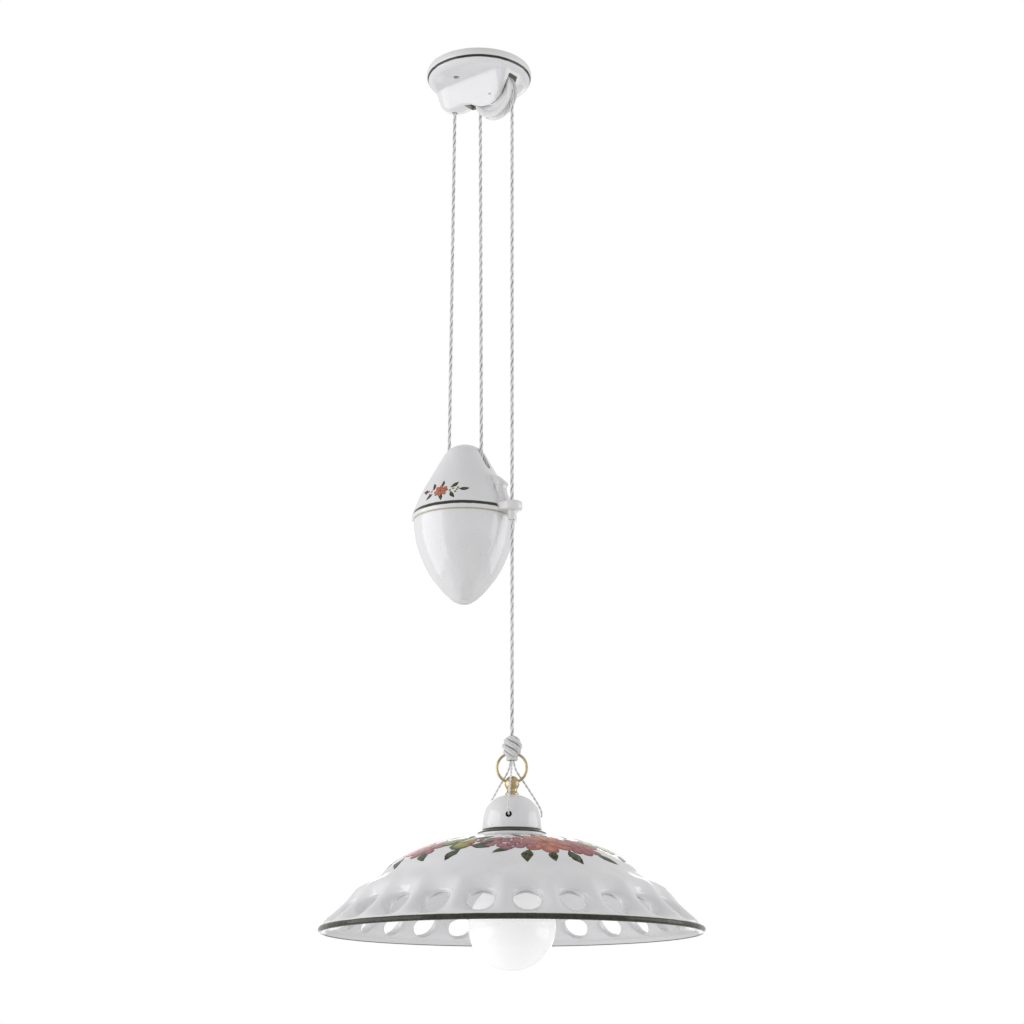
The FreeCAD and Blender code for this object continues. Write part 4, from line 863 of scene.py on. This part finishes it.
def upright_ring(height, thick, sides):
    """A closed ring in the plane that faces the camera, round a point on the lamp's own line."""
    turns = full_turn(120)[:, None]
    levels = []
    for t in full_turn(sides):
        reach = RING_REACH + thick * math.cos(t)
        core = np.array((LAMP_X, 0, height)) + thick * math.sin(t) * square_on
        levels.append(core + reach * np.cos(turns) * facing + reach * np.sin(turns) * upright)
    return stacked(levels, closed=True)


make_piece(
    "brass_ring", *upright_ring(RING_CENTRE, 1.5, 24), brass, body="cord_end", slot="brass",
    stands_for=("hanging_ring",), sharp=None,
)

eye_profile = [
    (0.3, 21.5), (2.4, 21.2), (4.6, 20.2), (6.6, 18.2), (8, 15.6), (8.4, 13), (8.1, 10.9), (7.2, 9),
    (6.2, 7.3), (5.6, 5.6), (5.6, 4.6), (5.9, 3.6), (6.5, 2.9), (7.3, 2.3), (7.5, 1.6), (7.5, 0.4),
    (7.2, 0), (4.75, 0), (4.75, -35.3), (4.4, -35.6), (0.3, -35.6),
]
eye = make_piece(
    "brass_eye", *lathe(eye_profile, (LAMP_X, 0, CUP_TOP), 72), brass, body="lamp", slot="brass",
    stands_for=("hanging_eye",),
)
carve(eye, upright_ring(RING_CENTRE - 1.2, 3.0, 20), sharp=40)

# each conductor: two fine white strands wound together over a bare loop
CONDUCTOR_TURNS = [math.radians(-58.6 + 120 * number) for number in range(3)]
CONDUCTOR_LAY = 11.0
steer = [(2.2, 38.3), (3, 29.5), (12, 18.5), (24, 2.5), (36.5, -15.5), (35.5, -24.5), (25.5, -24.5)]
for number, angle in enumerate(CONDUCTOR_TURNS, 1):
    route = [(LAMP_X + out * math.cos(angle), out * math.sin(angle), CUP_TOP + up) for out, up in steer]
    line, length = smooth_route(route)
    run = np.linspace(0, length, len(line)) / CONDUCTOR_LAY * 2 * math.pi
    strands = [strand_tube(line, offset=0.56, turns=run + turn, radius=0.68) for turn in (0, math.pi)]
    piece, points = bundle(f"conductor_{number}_pair", strands, 1.2, stands_for=(f"conductor_{number}",))
    mark_valleys(piece, points, cores_of(line, 2), deep=0.25, shallow=0.6)
    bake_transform(piece)

# ---- cup -----------------------------------------------------------------------------------------
# A domed cup of white glazed earthenware over the lampholder, with three holes for the conductors and an
# olive-black line brushed round its flange.

cup_profile = (
    [(5.1, -0.2), (5.4, 0), (8.6, 0)] + arc((9, -0.05), (29, -14), 30, 12)[1:]
    + arc((29, -14), (33, -34.5), 70, 8)
    + [(33, -34.5), (33.1, -36), (33.5, -38), (34.4, -39.6), (36.4, -41), (38, -41.9), (38.4, -43)]
    + [(38.4, -45.2), (38, -46.1), (37.1, -46.5), (31.6, -46.5), (30.2, -42), (28.5, -36.5), (28.5, -24)]
    + [(26.6, -17), (21, -11), (13, -7.4), (10, -5.1), (5.1, -5)]
)
flange_line = (LAMP_X, 32.8, 39.5, CUP_TOP - 43.4, CUP_TOP - 38.3, OLIVE_BLACK)
cup = make_piece(
    "lamp_cup_cast", *lathe(cup_profile, (LAMP_X, 0, CUP_TOP), 120, closed=True),
    white_glaze("cup_glaze", lines=[flange_line], wobble=0.0002),
    body="lamp", slot="white_glaze", stands_for=("lamp_cup",),
)
cup_holes = []
for angle in CONDUCTOR_TURNS:
    ends = [(LAMP_X + r * math.cos(angle), r * math.sin(angle), CUP_TOP - 24.5) for r in (22, 40)]
    cup_holes.append(drill(*ends, 3.5, 28))
carve(cup, *cup_holes)

# ---- shade ---------------------------------------------------------------------------------------
# A wide dish of white glazed earthenware, thrown and pressed. Its brim swells into twenty-four puffed
# hoods, a round hole is cut under each while the clay is soft, and the rolled rim is painted olive black.

SHADE_TOP = -952.8
HOODS = 24
FIRST_HOOD = math.radians(-47)
HOLE_RADIUS = 14.0
LIP_REACH = 18.6  # from the hole's middle to where its soft edge begins, outside
LINING_REACH = 17.2  # and to where the lining begins, inside

# lines from the crown to the rim, (distance from the axis, height under the crown): down a rib between
# two holes, down the middle of a hood and its hole, and down the plain lining
crown_arc = arc((44, 0), (138.5, -34), 180, 12) + [(138.5, -34)]
rib_line = np.array(
    crown_arc
    + [(148, -43), (157, -49.4), (165, -53.8), (170.5, -57.7), (175, -63.2), (181, -70.6), (187, -76.6)]
    + [(193.3, -82.4), (199, -87.2), (204, -91.6), (206.6, -94.8)]
)
hood_line = np.array(
    crown_arc
    + [(148.5, -43), (158, -49.2), (165.5, -54.6), (169.6, -61), (171.6, -67.5), (174.8, -74.5), (179, -81.8)]
    + [(184, -88), (191, -92), (200, -94.1), (206.6, -95.6)]
)
lining_line = np.array(
    arc((43.8, -3.8), (136.3, -37.1), 176.2, 12) + [(136.3, -37.1)]
    + [(145.4, -47), (154, -54.6), (161, -61.4), (165.4, -68.2), (167.9, -74), (171.1, -79.8), (175.4, -86.2)]
    + [(181, -92), (188, -96), (197, -98.2), (203, -99.4)]
)
steps_down = np.r_[0, np.cumsum(np.linalg.norm(np.diff(rib_line, axis=0), axis=1))]
HOLE_DOWN = steps_down[19]
HOLE_CENTRE = (178.6, -81.9)
HOLE_LEAN = math.radians(35)  # of the hole's axis over the level
MEAN_REACH = 181.0  # of a hole's surroundings from the lamp's axis


def eased(line, along):
    """Points of a smooth curve through a line's points, at lengths down it."""
    slopes = np.gradient(line, steps_down, axis=0)
    i = np.clip(np.searchsorted(steps_down, along) - 1, 0, len(line) - 2)
    gap = steps_down[i + 1] - steps_down[i]
    t = ((along - steps_down[i]) / gap)[..., None]
    gap = gap[..., None]
    return (
        (2 * t**3 - 3 * t**2 + 1) * line[i] + (t**3 - 2 * t**2 + t) * gap * slopes[i]
        + (3 * t**2 - 2 * t**3) * line[i + 1] + (t**3 - t**2) * gap * slopes[i + 1]
    )


def on_dish(flat, turn):
    """Places from (distance from the axis, height under the crown) and turns from the first hood."""
    angle = np.asarray(turn) + FIRST_HOOD
    x, y = LAMP_X + flat[..., 0] * np.cos(angle), flat[..., 0] * np.sin(angle)
    return np.stack([x, y, SHADE_TOP + flat[..., 1]], axis=-1)


def dish_face(along, turn):
    """Places on the glazed outer face."""
    along, turn = np.broadcast_arrays(np.asarray(along, float), np.asarray(turn, float))
    phase = (turn / (2 * math.pi) * HOODS + 0.5) % 1 - 0.5
    rib = (np.abs(np.sin(math.pi * phase)) ** 2.6)[..., None]
    return on_dish(eased(rib_line, along) * rib + eased(hood_line, along) * (1 - rib), turn)


def dish_lining(along, turn):
    """Places on the plain inner face."""
    along, turn = np.broadcast_arrays(np.asarray(along, float), np.asarray(turn, float))
    return on_dish(eased(lining_line, along), turn)


places, faces = [], []


def add_rows(rows):
    """Adds closed rings of places, with faces between them."""
    rows = np.asarray(rows, float)
    first, (high, wide) = len(places), rows.shape[:2]
    places.extend(rows.reshape(-1, 3).tolist())
    for i in range(high - 1):
        for j in range(wide):
            a, b = first + i * wide + j, first + i * wide + (j + 1) % wide
            faces.append((a, a + wide, b + wide, b))


SQUARE = 16  # steps along each side of the field round a hole
FIELD_UP, FIELD_DOWN = 25.0, 21.0
around = full_turn(HOODS * SQUARE) - math.pi / HOODS
field_top, field_end = HOLE_DOWN - FIELD_UP, HOLE_DOWN + FIELD_DOWN
crown_rows = np.r_[np.linspace(0, steps_down[12] - 2, 12), np.linspace(steps_down[12], field_top, 12)]


def turned_rows(profile):
    """Plain round rings of the dish, from (distance from the axis, height under the crown)."""
    return [on_dish(np.tile((r, z), (len(around), 1)), around) for r, z in profile]


rim = [
    (207.2, -95.9), (208.7, -97), (209.8, -98.8), (210, -100.4), (209.4, -102.2), (208, -103.2),
    (206.2, -103), (204.6, -101.6),
]
low_rows = np.linspace(field_end, steps_down[-1], 4)
crown_edge = [(20.3, -1.2), (20.9, -0.35), (21.8, 0), (32, 0)]
add_rows(turned_rows(crown_edge) + [dish_face(s, around) for s in crown_rows])
add_rows(
    [dish_face(s, around) for s in low_rows] + turned_rows(rim)
    + [dish_lining(s, around) for s in low_rows[::-1]]
)
add_rows(
    [dish_lining(s, around) for s in crown_rows[::-1]]
    + turned_rows([(32, -3.8), (21.4, -3.8), (20.7, -3.6), (20.3, -3.1), (20.3, -1.2)])
)

# the field round each hole: in from a square to its soft edge, through the wall, and back out inside
half_wide = math.pi / HOODS
corners = [(-half_wide, field_top), (half_wide, field_top), (half_wide, field_end), (-half_wide, field_end)]
square = np.concatenate([
    np.linspace(start, end, SQUARE, endpoint=False) for start, end in zip(corners, corners[1:] + corners[:1])
])
bearing = np.arctan2(square[:, 1] - HOLE_DOWN, square[:, 0] * MEAN_REACH)


def ring_at(reach):
    """Turn and length down of the places at a distance from the hole's middle."""
    return np.column_stack([reach * np.cos(bearing) / MEAN_REACH, HOLE_DOWN + reach * np.sin(bearing)])


def hole_ring(turn, radius, inward):
    """The hole's own circle, moved inward along its axis."""
    angle = turn + FIRST_HOOD
    outward = np.array((math.cos(angle), math.sin(angle), 0))
    out = outward * math.cos(HOLE_LEAN) + upright * math.sin(HOLE_LEAN)
    down = outward * math.sin(HOLE_LEAN) - upright * math.cos(HOLE_LEAN)
    aside = np.array((-math.sin(angle), math.cos(angle), 0))
    centre = on_dish(np.array(HOLE_CENTRE), turn) - out * inward
    return centre + radius * (np.cos(bearing)[:, None] * aside + np.sin(bearing)[:, None] * down), out


for turn in full_turn(HOODS):
    rows = []
    for share in (0, 0.3, 0.62, 1):
        spots = square * (1 - share) + ring_at(LIP_REACH) * share
        rows.append(dish_face(spots[:, 1], spots[:, 0] + turn))
    nearer = ring_at(LIP_REACH - 0.5)
    inward = dish_face(nearer[:, 1], nearer[:, 0] + turn) - rows[-1]
    inward /= np.linalg.norm(inward, axis=1)[:, None]
    edge, out = hole_ring(turn, HOLE_RADIUS, 0.5)
    start, first, second = rows[-1], rows[-1] + inward * 3.2, edge + out * 2.6
    for t in (0.12, 0.25, 0.38, 0.52, 0.66, 0.82, 1):
        rows.append(
            (1 - t) ** 3 * start + 3 * (1 - t) ** 2 * t * first + 3 * (1 - t) * t**2 * second + t**3 * edge
        )
    for radius, depth in ((HOLE_RADIUS, 2.4), (14.2, 3.4), (14.8, 4.1)):
        rows.append(hole_ring(turn, radius, depth)[0])
    for share in (0, 0.4, 0.75, 1):
        spots = square * share + ring_at(LINING_REACH) * (1 - share)
        rows.append(dish_lining(spots[:, 1], spots[:, 0] + turn))
    add_rows(rows)

places = np.array(places)
_, first_of, kept = np.unique(np.round(places, 2), axis=0, return_index=True, return_inverse=True)
kept = kept.ravel()
shade_faces = [tuple(dict.fromkeys(int(kept[i]) for i in f)) for f in faces]
shade_faces = [f for f in shade_faces if len(f) > 2]
rim_line = (LAMP_X, 205.5, 212, SHADE_TOP - 110, SHADE_TOP - 97.4, OLIVE_BLACK)
make_piece(
    "shade_dish", places[first_of], shade_faces, white_glaze("shade_glaze", lines=[rim_line]), body="lamp",
    slot="white_glaze", stands_for=("shade",), sharp=50,
)

# ---- painted decoration --------------------------------------------------------------------------
# Blossoms, pears, berries and leaves brushed by hand in soft colours on the glaze: a garland all round
# the dome, and a small sprig on the counterweight's cap. The paint stands a hair proud of the glaze, as
# thick as it dries.

PINK, ROSE, CORAL, PEACH = (0.52, 0.15, 0.17), (0.30, 0.04, 0.045), (0.50, 0.11, 0.075), (0.68, 0.30, 0.19)
CREAM, MAUVE, LIME, OCHRE = (0.76, 0.48, 0.36), (0.24, 0.11, 0.16), (0.36, 0.34, 0.04), (0.30, 0.20, 0.04)
LEAF, DARK_LEAF, STEM = (0.06, 0.105, 0.025), (0.009, 0.018, 0.008), (0.10, 0.09, 0.03)
PALE_LIME = (0.58, 0.55, 0.2)

brushwork, brush_shader = new_finish("brushwork")
pigment = put_node(brushwork, "ShaderNodeAttribute", attribute_name="pigment").outputs["Color"]
streaks = speckle(brushwork, 900, 3.0, 0.6)
washes = speckle(brushwork, 190, 2.0)
deep = blended(brushwork, ranged(brushwork, streaks, 0.35, 0.75, 0, 0.55), pigment, (0.05, 0.03, 0.02))
join(
    brushwork, blended(brushwork, ranged(brushwork, washes, 0.5, 0.85, 0, 0.22), deep, (0.70, 0.62, 0.56)),
    brush_shader.inputs["Base Color"],
)
dull_by(brushwork, brush_shader, washes, 0.3, 0.7, 0.16, 0.28)
fix(brush_shader, Specular_IOR_Level=0.14)
roughen(brushwork, brush_shader, streaks, 0.00005)
hand = np.random.default_rng(11)


def daub(u, v, long, wide, lean, inner, outer, point=0.0, bend=0.0):
    """One touch of the brush, (outline, middle, colours), long along its lean in degrees."""
    t = np.arange(16) * 2 * math.pi / 16
    taper = 1 - point * np.abs(np.cos(t)) ** 1.5
    shape = np.column_stack([long / 2 * np.cos(t), wide / 2 * np.sin(t) * taper])
    shape[:, 1] += bend * (np.cos(t) ** 2 - 0.5) * long
    shape *= 1 + hand.normal(0, 0.03, (16, 1))
    a = math.radians(lean)
    turned = shape @ np.array([(math.cos(a), math.sin(a)), (-math.sin(a), math.cos(a))])
    return turned + (u, v), (u, v), inner, outer


def leaf(u, v, size, lean):
    tones = (DARK_LEAF, LEAF) if hand.random() < 0.35 else (LEAF, DARK_LEAF)
    return [
        daub(u, v, size, size * 0.42, lean, *tones, 0.7, 0.06),
        daub(u, v, size * 0.8, size * 0.06, lean, STEM, DARK_LEAF, 0.6, 0.06),
    ]


def blossom(u, v, size, inner, outer, heart):
    touches = []
    for ring, (count, reach, petal) in enumerate(((8, 0.34, 0.36), (6, 0.19, 0.28))):
        for k in range(count):
            a = 360 / count * k + 20 * ring + hand.normal(0, 6)
            x, y = size * reach * math.cos(math.radians(a)), size * reach * math.sin(math.radians(a))
            mix = hand.random() * 0.5
            shade = tuple(i * (1 - mix) + o * mix for i, o in zip(inner, outer))
            touches.append(daub(u + x, v + y, size * petal, size * petal * 0.78, a, shade, outer, 0.1))
    touches.append(daub(u, v, size * 0.2, size * 0.18, 0, heart, outer))
    far, dot = size * 0.13, size * 0.05
    for k in range(7):
        a = 360 / 7 * k
        touches.append(daub(u + far * math.cos(a), v + far * math.sin(a), dot, dot, 0, OCHRE, heart))
    return touches


def pear(u, v, size, lean):
    a = math.radians(lean)
    x, y = math.cos(a), math.sin(a)
    return [
        daub(u + x * size * 0.62, v + y * size * 0.62, size * 0.3, size * 0.05, lean, STEM, DARK_LEAF),
        daub(u + x * size * 0.28, v + y * size * 0.28, size * 0.56, size * 0.36, lean, LIME, OCHRE),
        daub(u, v, size * 0.66, size * 0.62, lean, LIME, LEAF),
        daub(u - y * size * 0.12, v + x * size * 0.12, size * 0.4, size * 0.2, lean, PALE_LIME, LIME, 0.3),
        daub(u + y * size * 0.2, v - x * size * 0.2, size * 0.3, size * 0.12, lean, CORAL, LIME, 0.5),
        daub(u - x * size * 0.31, v - y * size * 0.31, size * 0.07, size * 0.07, 0, DARK_LEAF, DARK_LEAF),
    ]


def berries(u, v, size, count, inner, outer):
    touches = []
    for k in range(count):
        a, far = 2.4 * k, size * 0.42 * math.sqrt((k + 0.5) / count)
        x, y, wide = u + far * math.cos(a) * 1.5, v + far * math.sin(a), size * 0.25
        touches.append(daub(x, y, wide, wide, 0, inner, outer))
        touches.append(daub(x - wide * 0.16, y + wide * 0.18, wide * 0.3, wide * 0.2, 30, CREAM, inner))
    return touches


def paint(name, touches, surface, **holders):
    """Lays touches on a surface, a function that gives places for millimetres across and up the design."""
    points, faces, colours = [], [], []
    for layer, (outline, middle, inner, outer) in enumerate(touches):
        middle = np.array(middle)
        lift = 0.10 + 0.012 * (layer % 9)
        loops = [(0.0, lift, inner), (0.45, lift, inner), (0.8, lift * 0.95, outer), (1.0, lift * 0.3, outer)]
        first = len(points)
        for share, height, colour in loops:
            spots = middle + (outline - middle) * share if share else middle[None]
            at = surface(spots[:, 0], spots[:, 1])
            right = surface(spots[:, 0] + 0.2, spots[:, 1]) - at
            up = surface(spots[:, 0], spots[:, 1] + 0.2) - at
            out = np.cross(right, up)
            out /= np.linalg.norm(out, axis=1)[:, None]
            points += list(at + out * height)
            tone = np.clip(np.array(colour) * hand.uniform(0.85, 1.15), 0, 1)
            colours += [(*tone, 1)] * len(at)
        wide = len(outline)
        for j in range(wide):
            k = (j + 1) % wide
            faces.append((first, first + 1 + j, first + 1 + k))
            for ring in range(2):
                a, b = first + 1 + ring * wide, first + 1 + (ring + 1) * wide
                faces.append((a + j, b + j, b + k, a + k))
    piece = make_piece(name, points, faces, brushwork, sharp=None, **holders)
    colour_points(piece, "pigment", colours)


GARLAND_REACH = 108.0  # the design's middle, from the lamp's axis
garland_down = float(np.interp(GARLAND_REACH, rib_line[:, 0], steps_down))
touches = []
REPEATS = 4
whole = GARLAND_REACH * 2 * math.pi
# leaves, as (across, up, length, lean in degrees) from the middle of one repeat
garland_leaves = (
    (-78, 7, 22, 165), (-68, -17, 19, 215), (-54, 21, 18, 120), (-47, -24, 19, 250), (-13, 25, 20, 70),
    (-6, -26, 21, 290), (20, 23, 19, 60), (27, -24, 20, 300), (50, 22, 18, 110), (58, -21, 20, 240),
    (74, 15, 21, 20), (78, -9, 19, -20), (87, 3, 17, 5), (-88, -4, 17, 185), (-30, 24, 15, 95),
    (-24, -25, 16, 262),
)
for repeat in range(REPEATS):
    u = (repeat + 0.30) * whole / REPEATS
    for du, dv, size, lean in garland_leaves:
        place = u + du + hand.normal(0, 1), dv * 1.3 + hand.normal(0, 1)
        touches += leaf(*place, size * 1.3, lean + hand.normal(0, 8))
    touches += berries(u - 62, 0, 45, 19, PINK, MAUVE)
    touches += blossom(u - 25, 2, 60, PEACH, CORAL, ROSE)
    touches += blossom(u + 12, -6, 48, PINK, ROSE, OCHRE)
    touches += pear(u + 36, 6, 40, 35)
    touches += pear(u + 57, -6, 38, 65)
    touches += berries(u + 78, 1, 26, 9, CORAL, ROSE)


def on_dome(across, along):
    return dish_face(garland_down - along, across / GARLAND_REACH)


paint("shade_garland", touches, on_dome, body="lamp", slot="white_glaze")

cap_line = np.array(cap_outer)
cap_steps = np.r_[0, np.cumsum(np.linalg.norm(np.diff(cap_line, axis=0), axis=1))]
SPRIG_REACH = 52.0
SPRIG_DOWN = float(np.interp(70, -cap_line[:40, 1], cap_steps[:40]))


def on_cap(across, along):
    """Places on the cap's side, the design's middle turned a little left of the camera."""
    down = SPRIG_DOWN - np.asarray(along)
    reach = np.interp(down, cap_steps, cap_line[:, 0])
    height = np.interp(down, cap_steps, cap_line[:, 1])
    angle = math.radians(-80) + np.asarray(across) / SPRIG_REACH
    return np.stack([WEIGHT_X + reach * np.cos(angle), reach * np.sin(angle), CAP_TOP + height], axis=-1)


touches = []
sprig_leaves = (
    (-24, 3, 12, 170), (-15, -6, 11, 220), (-12, 8, 11, 120), (13, -7, 11, 300), (15, 7, 12, 40),
    (26, 1, 12, 0), (0, 10, 10, 85), (1, -9, 10, 270),
)
for u in (0, math.pi * SPRIG_REACH):
    for du, dv, size, lean in sprig_leaves:
        touches += leaf(u + du, dv, size, lean + hand.normal(0, 6))
    touches += blossom(u - 1, 0, 17, PEACH, CORAL, ROSE)
    touches += berries(u - 16, 1, 11, 5, PINK, MAUVE)
    touches += berries(u + 16, 0, 10, 5, LIME, LEAF)
paint("cap_sprig", touches, on_cap, body="counterweight", slot="white_glaze")

# ---- bulb ----------------------------------------------------------------------------------------
# A large opal glass globe with a short neck in a screw cap. The glass is milky right through and glossy
# outside, with a faint painted glow that whitens it.

opal, opal_shader = new_finish("opal_glass")
milk = speckle(opal, 30, 2.0)
tint(opal, opal_shader, milk, (0.3, (0.90, 0.90, 0.90)), (0.7, (0.93, 0.93, 0.925)))
dull_by(opal, opal_shader, milk, 0.3, 0.7, 0.07, 0.12)
fix(opal_shader, Subsurface_Weight=0.4, Subsurface_Radius=(0.01, 0.01, 0.01))
# a faint painted glow that whitens the globe, far weaker than a lit bulb's light
fix(opal_shader, Emission_Color=(1, 1, 1, 1), Emission_Strength=0.22)
roughen(opal, opal_shader, speckle(opal, 60, 2.0), 0.0001)

GLOBE_Z = CUP_TOP - 142.5
globe = [(47.5 * math.sin(t), 47.5 * math.cos(t)) for t in np.linspace(0.42, math.pi - 0.006, 60)]
neck = [(12.5, 62.4), (12.5, 57), (13.2, 53.5), (14.9, 49.6), (17.1, 46.2), (18.9, 43.9)]
inner = [(46.3 * math.sin(t), 46.3 * math.cos(t)) for t in np.linspace(math.pi - 0.006, 0.40, 40)]
bulb_profile = neck + globe + inner + [(16.1, 45.6), (13.9, 49), (12.1, 53.3), (11.4, 57), (11.4, 62.4)]
make_piece(
    "opal_globe", *lathe(bulb_profile, (LAMP_X, 0, GLOBE_Z), 120, closed=True), opal, body="lamp",
    slot="opal_glass", stands_for=("bulb_glass",), sharp=None,
)

# ---- fittings ------------------------------------------------------------------------------------
# What holds and feeds the lamp inside its casings: bracket, screws, terminal block, pins, yoke, rod,
# ballast and lampholder. Each keeps its own solid, finished in turned, cast, moulded or cut material.


def moulded(name, colour, rough, scale=300, depth=0.00008, spread=0.12):
    """A cast or moulded material, mottled and slightly uneven."""
    material, shader = new_finish(name)
    mottle = speckle(material, scale, 4.0)
    deep, pale = (tuple(min(1, c * share) for c in colour) for share in (1 - spread, 1 + spread))
    tint(material, shader, mottle, (0.3, deep), (0.7, pale))
    dull_by(material, shader, mottle, 0.3, 0.7, rough, rough + 0.14)
    roughen(material, shader, mottle, depth)
    return material


fittings = {
    steel: "ceiling_bracket rose_screws terminal_screws weight_yoke tie_rod tie_nuts weight_axle axle_clips"
    " cup_nut cup_washer",
    brass: "rose_pulley_bush weight_pulley_bush lampholder_cap lampholder_shell lampholder_contact"
    " bulb_contact",
    moulded("white_nylon", (0.78, 0.78, 0.76), 0.42, 900, 0.00003, 0.05): "terminal_block cord_anchor"
    " shade_ring",
    moulded("pressed_cork", (0.60, 0.555, 0.48), 0.75, 700, 0.0003, 0.25): "cork_ring holder_washer",
    moulded("cast_iron", (0.09, 0.09, 0.095), 0.6, 500, 0.0003, 0.25): "ballast",
    moulded("unglazed_porcelain", (0.80, 0.79, 0.76), 0.35, 900, 0.00002, 0.04): "lampholder_body"
    " bulb_insulator",
    moulded("black_rubber", (0.04, 0.04, 0.04), 0.6, 400): "cup_gasket",
    metal("rolled_aluminium", (0.72, 0.72, 0.73), (0.5, 0.5, 0.5), 0.24): "bulb_cap",
    textile: "cord_inner_run",
}
for finish, nodes in fittings.items():
    for node in nodes.split():
        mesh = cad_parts[node].data
        mesh.materials.clear()
        mesh.materials.append(finish)
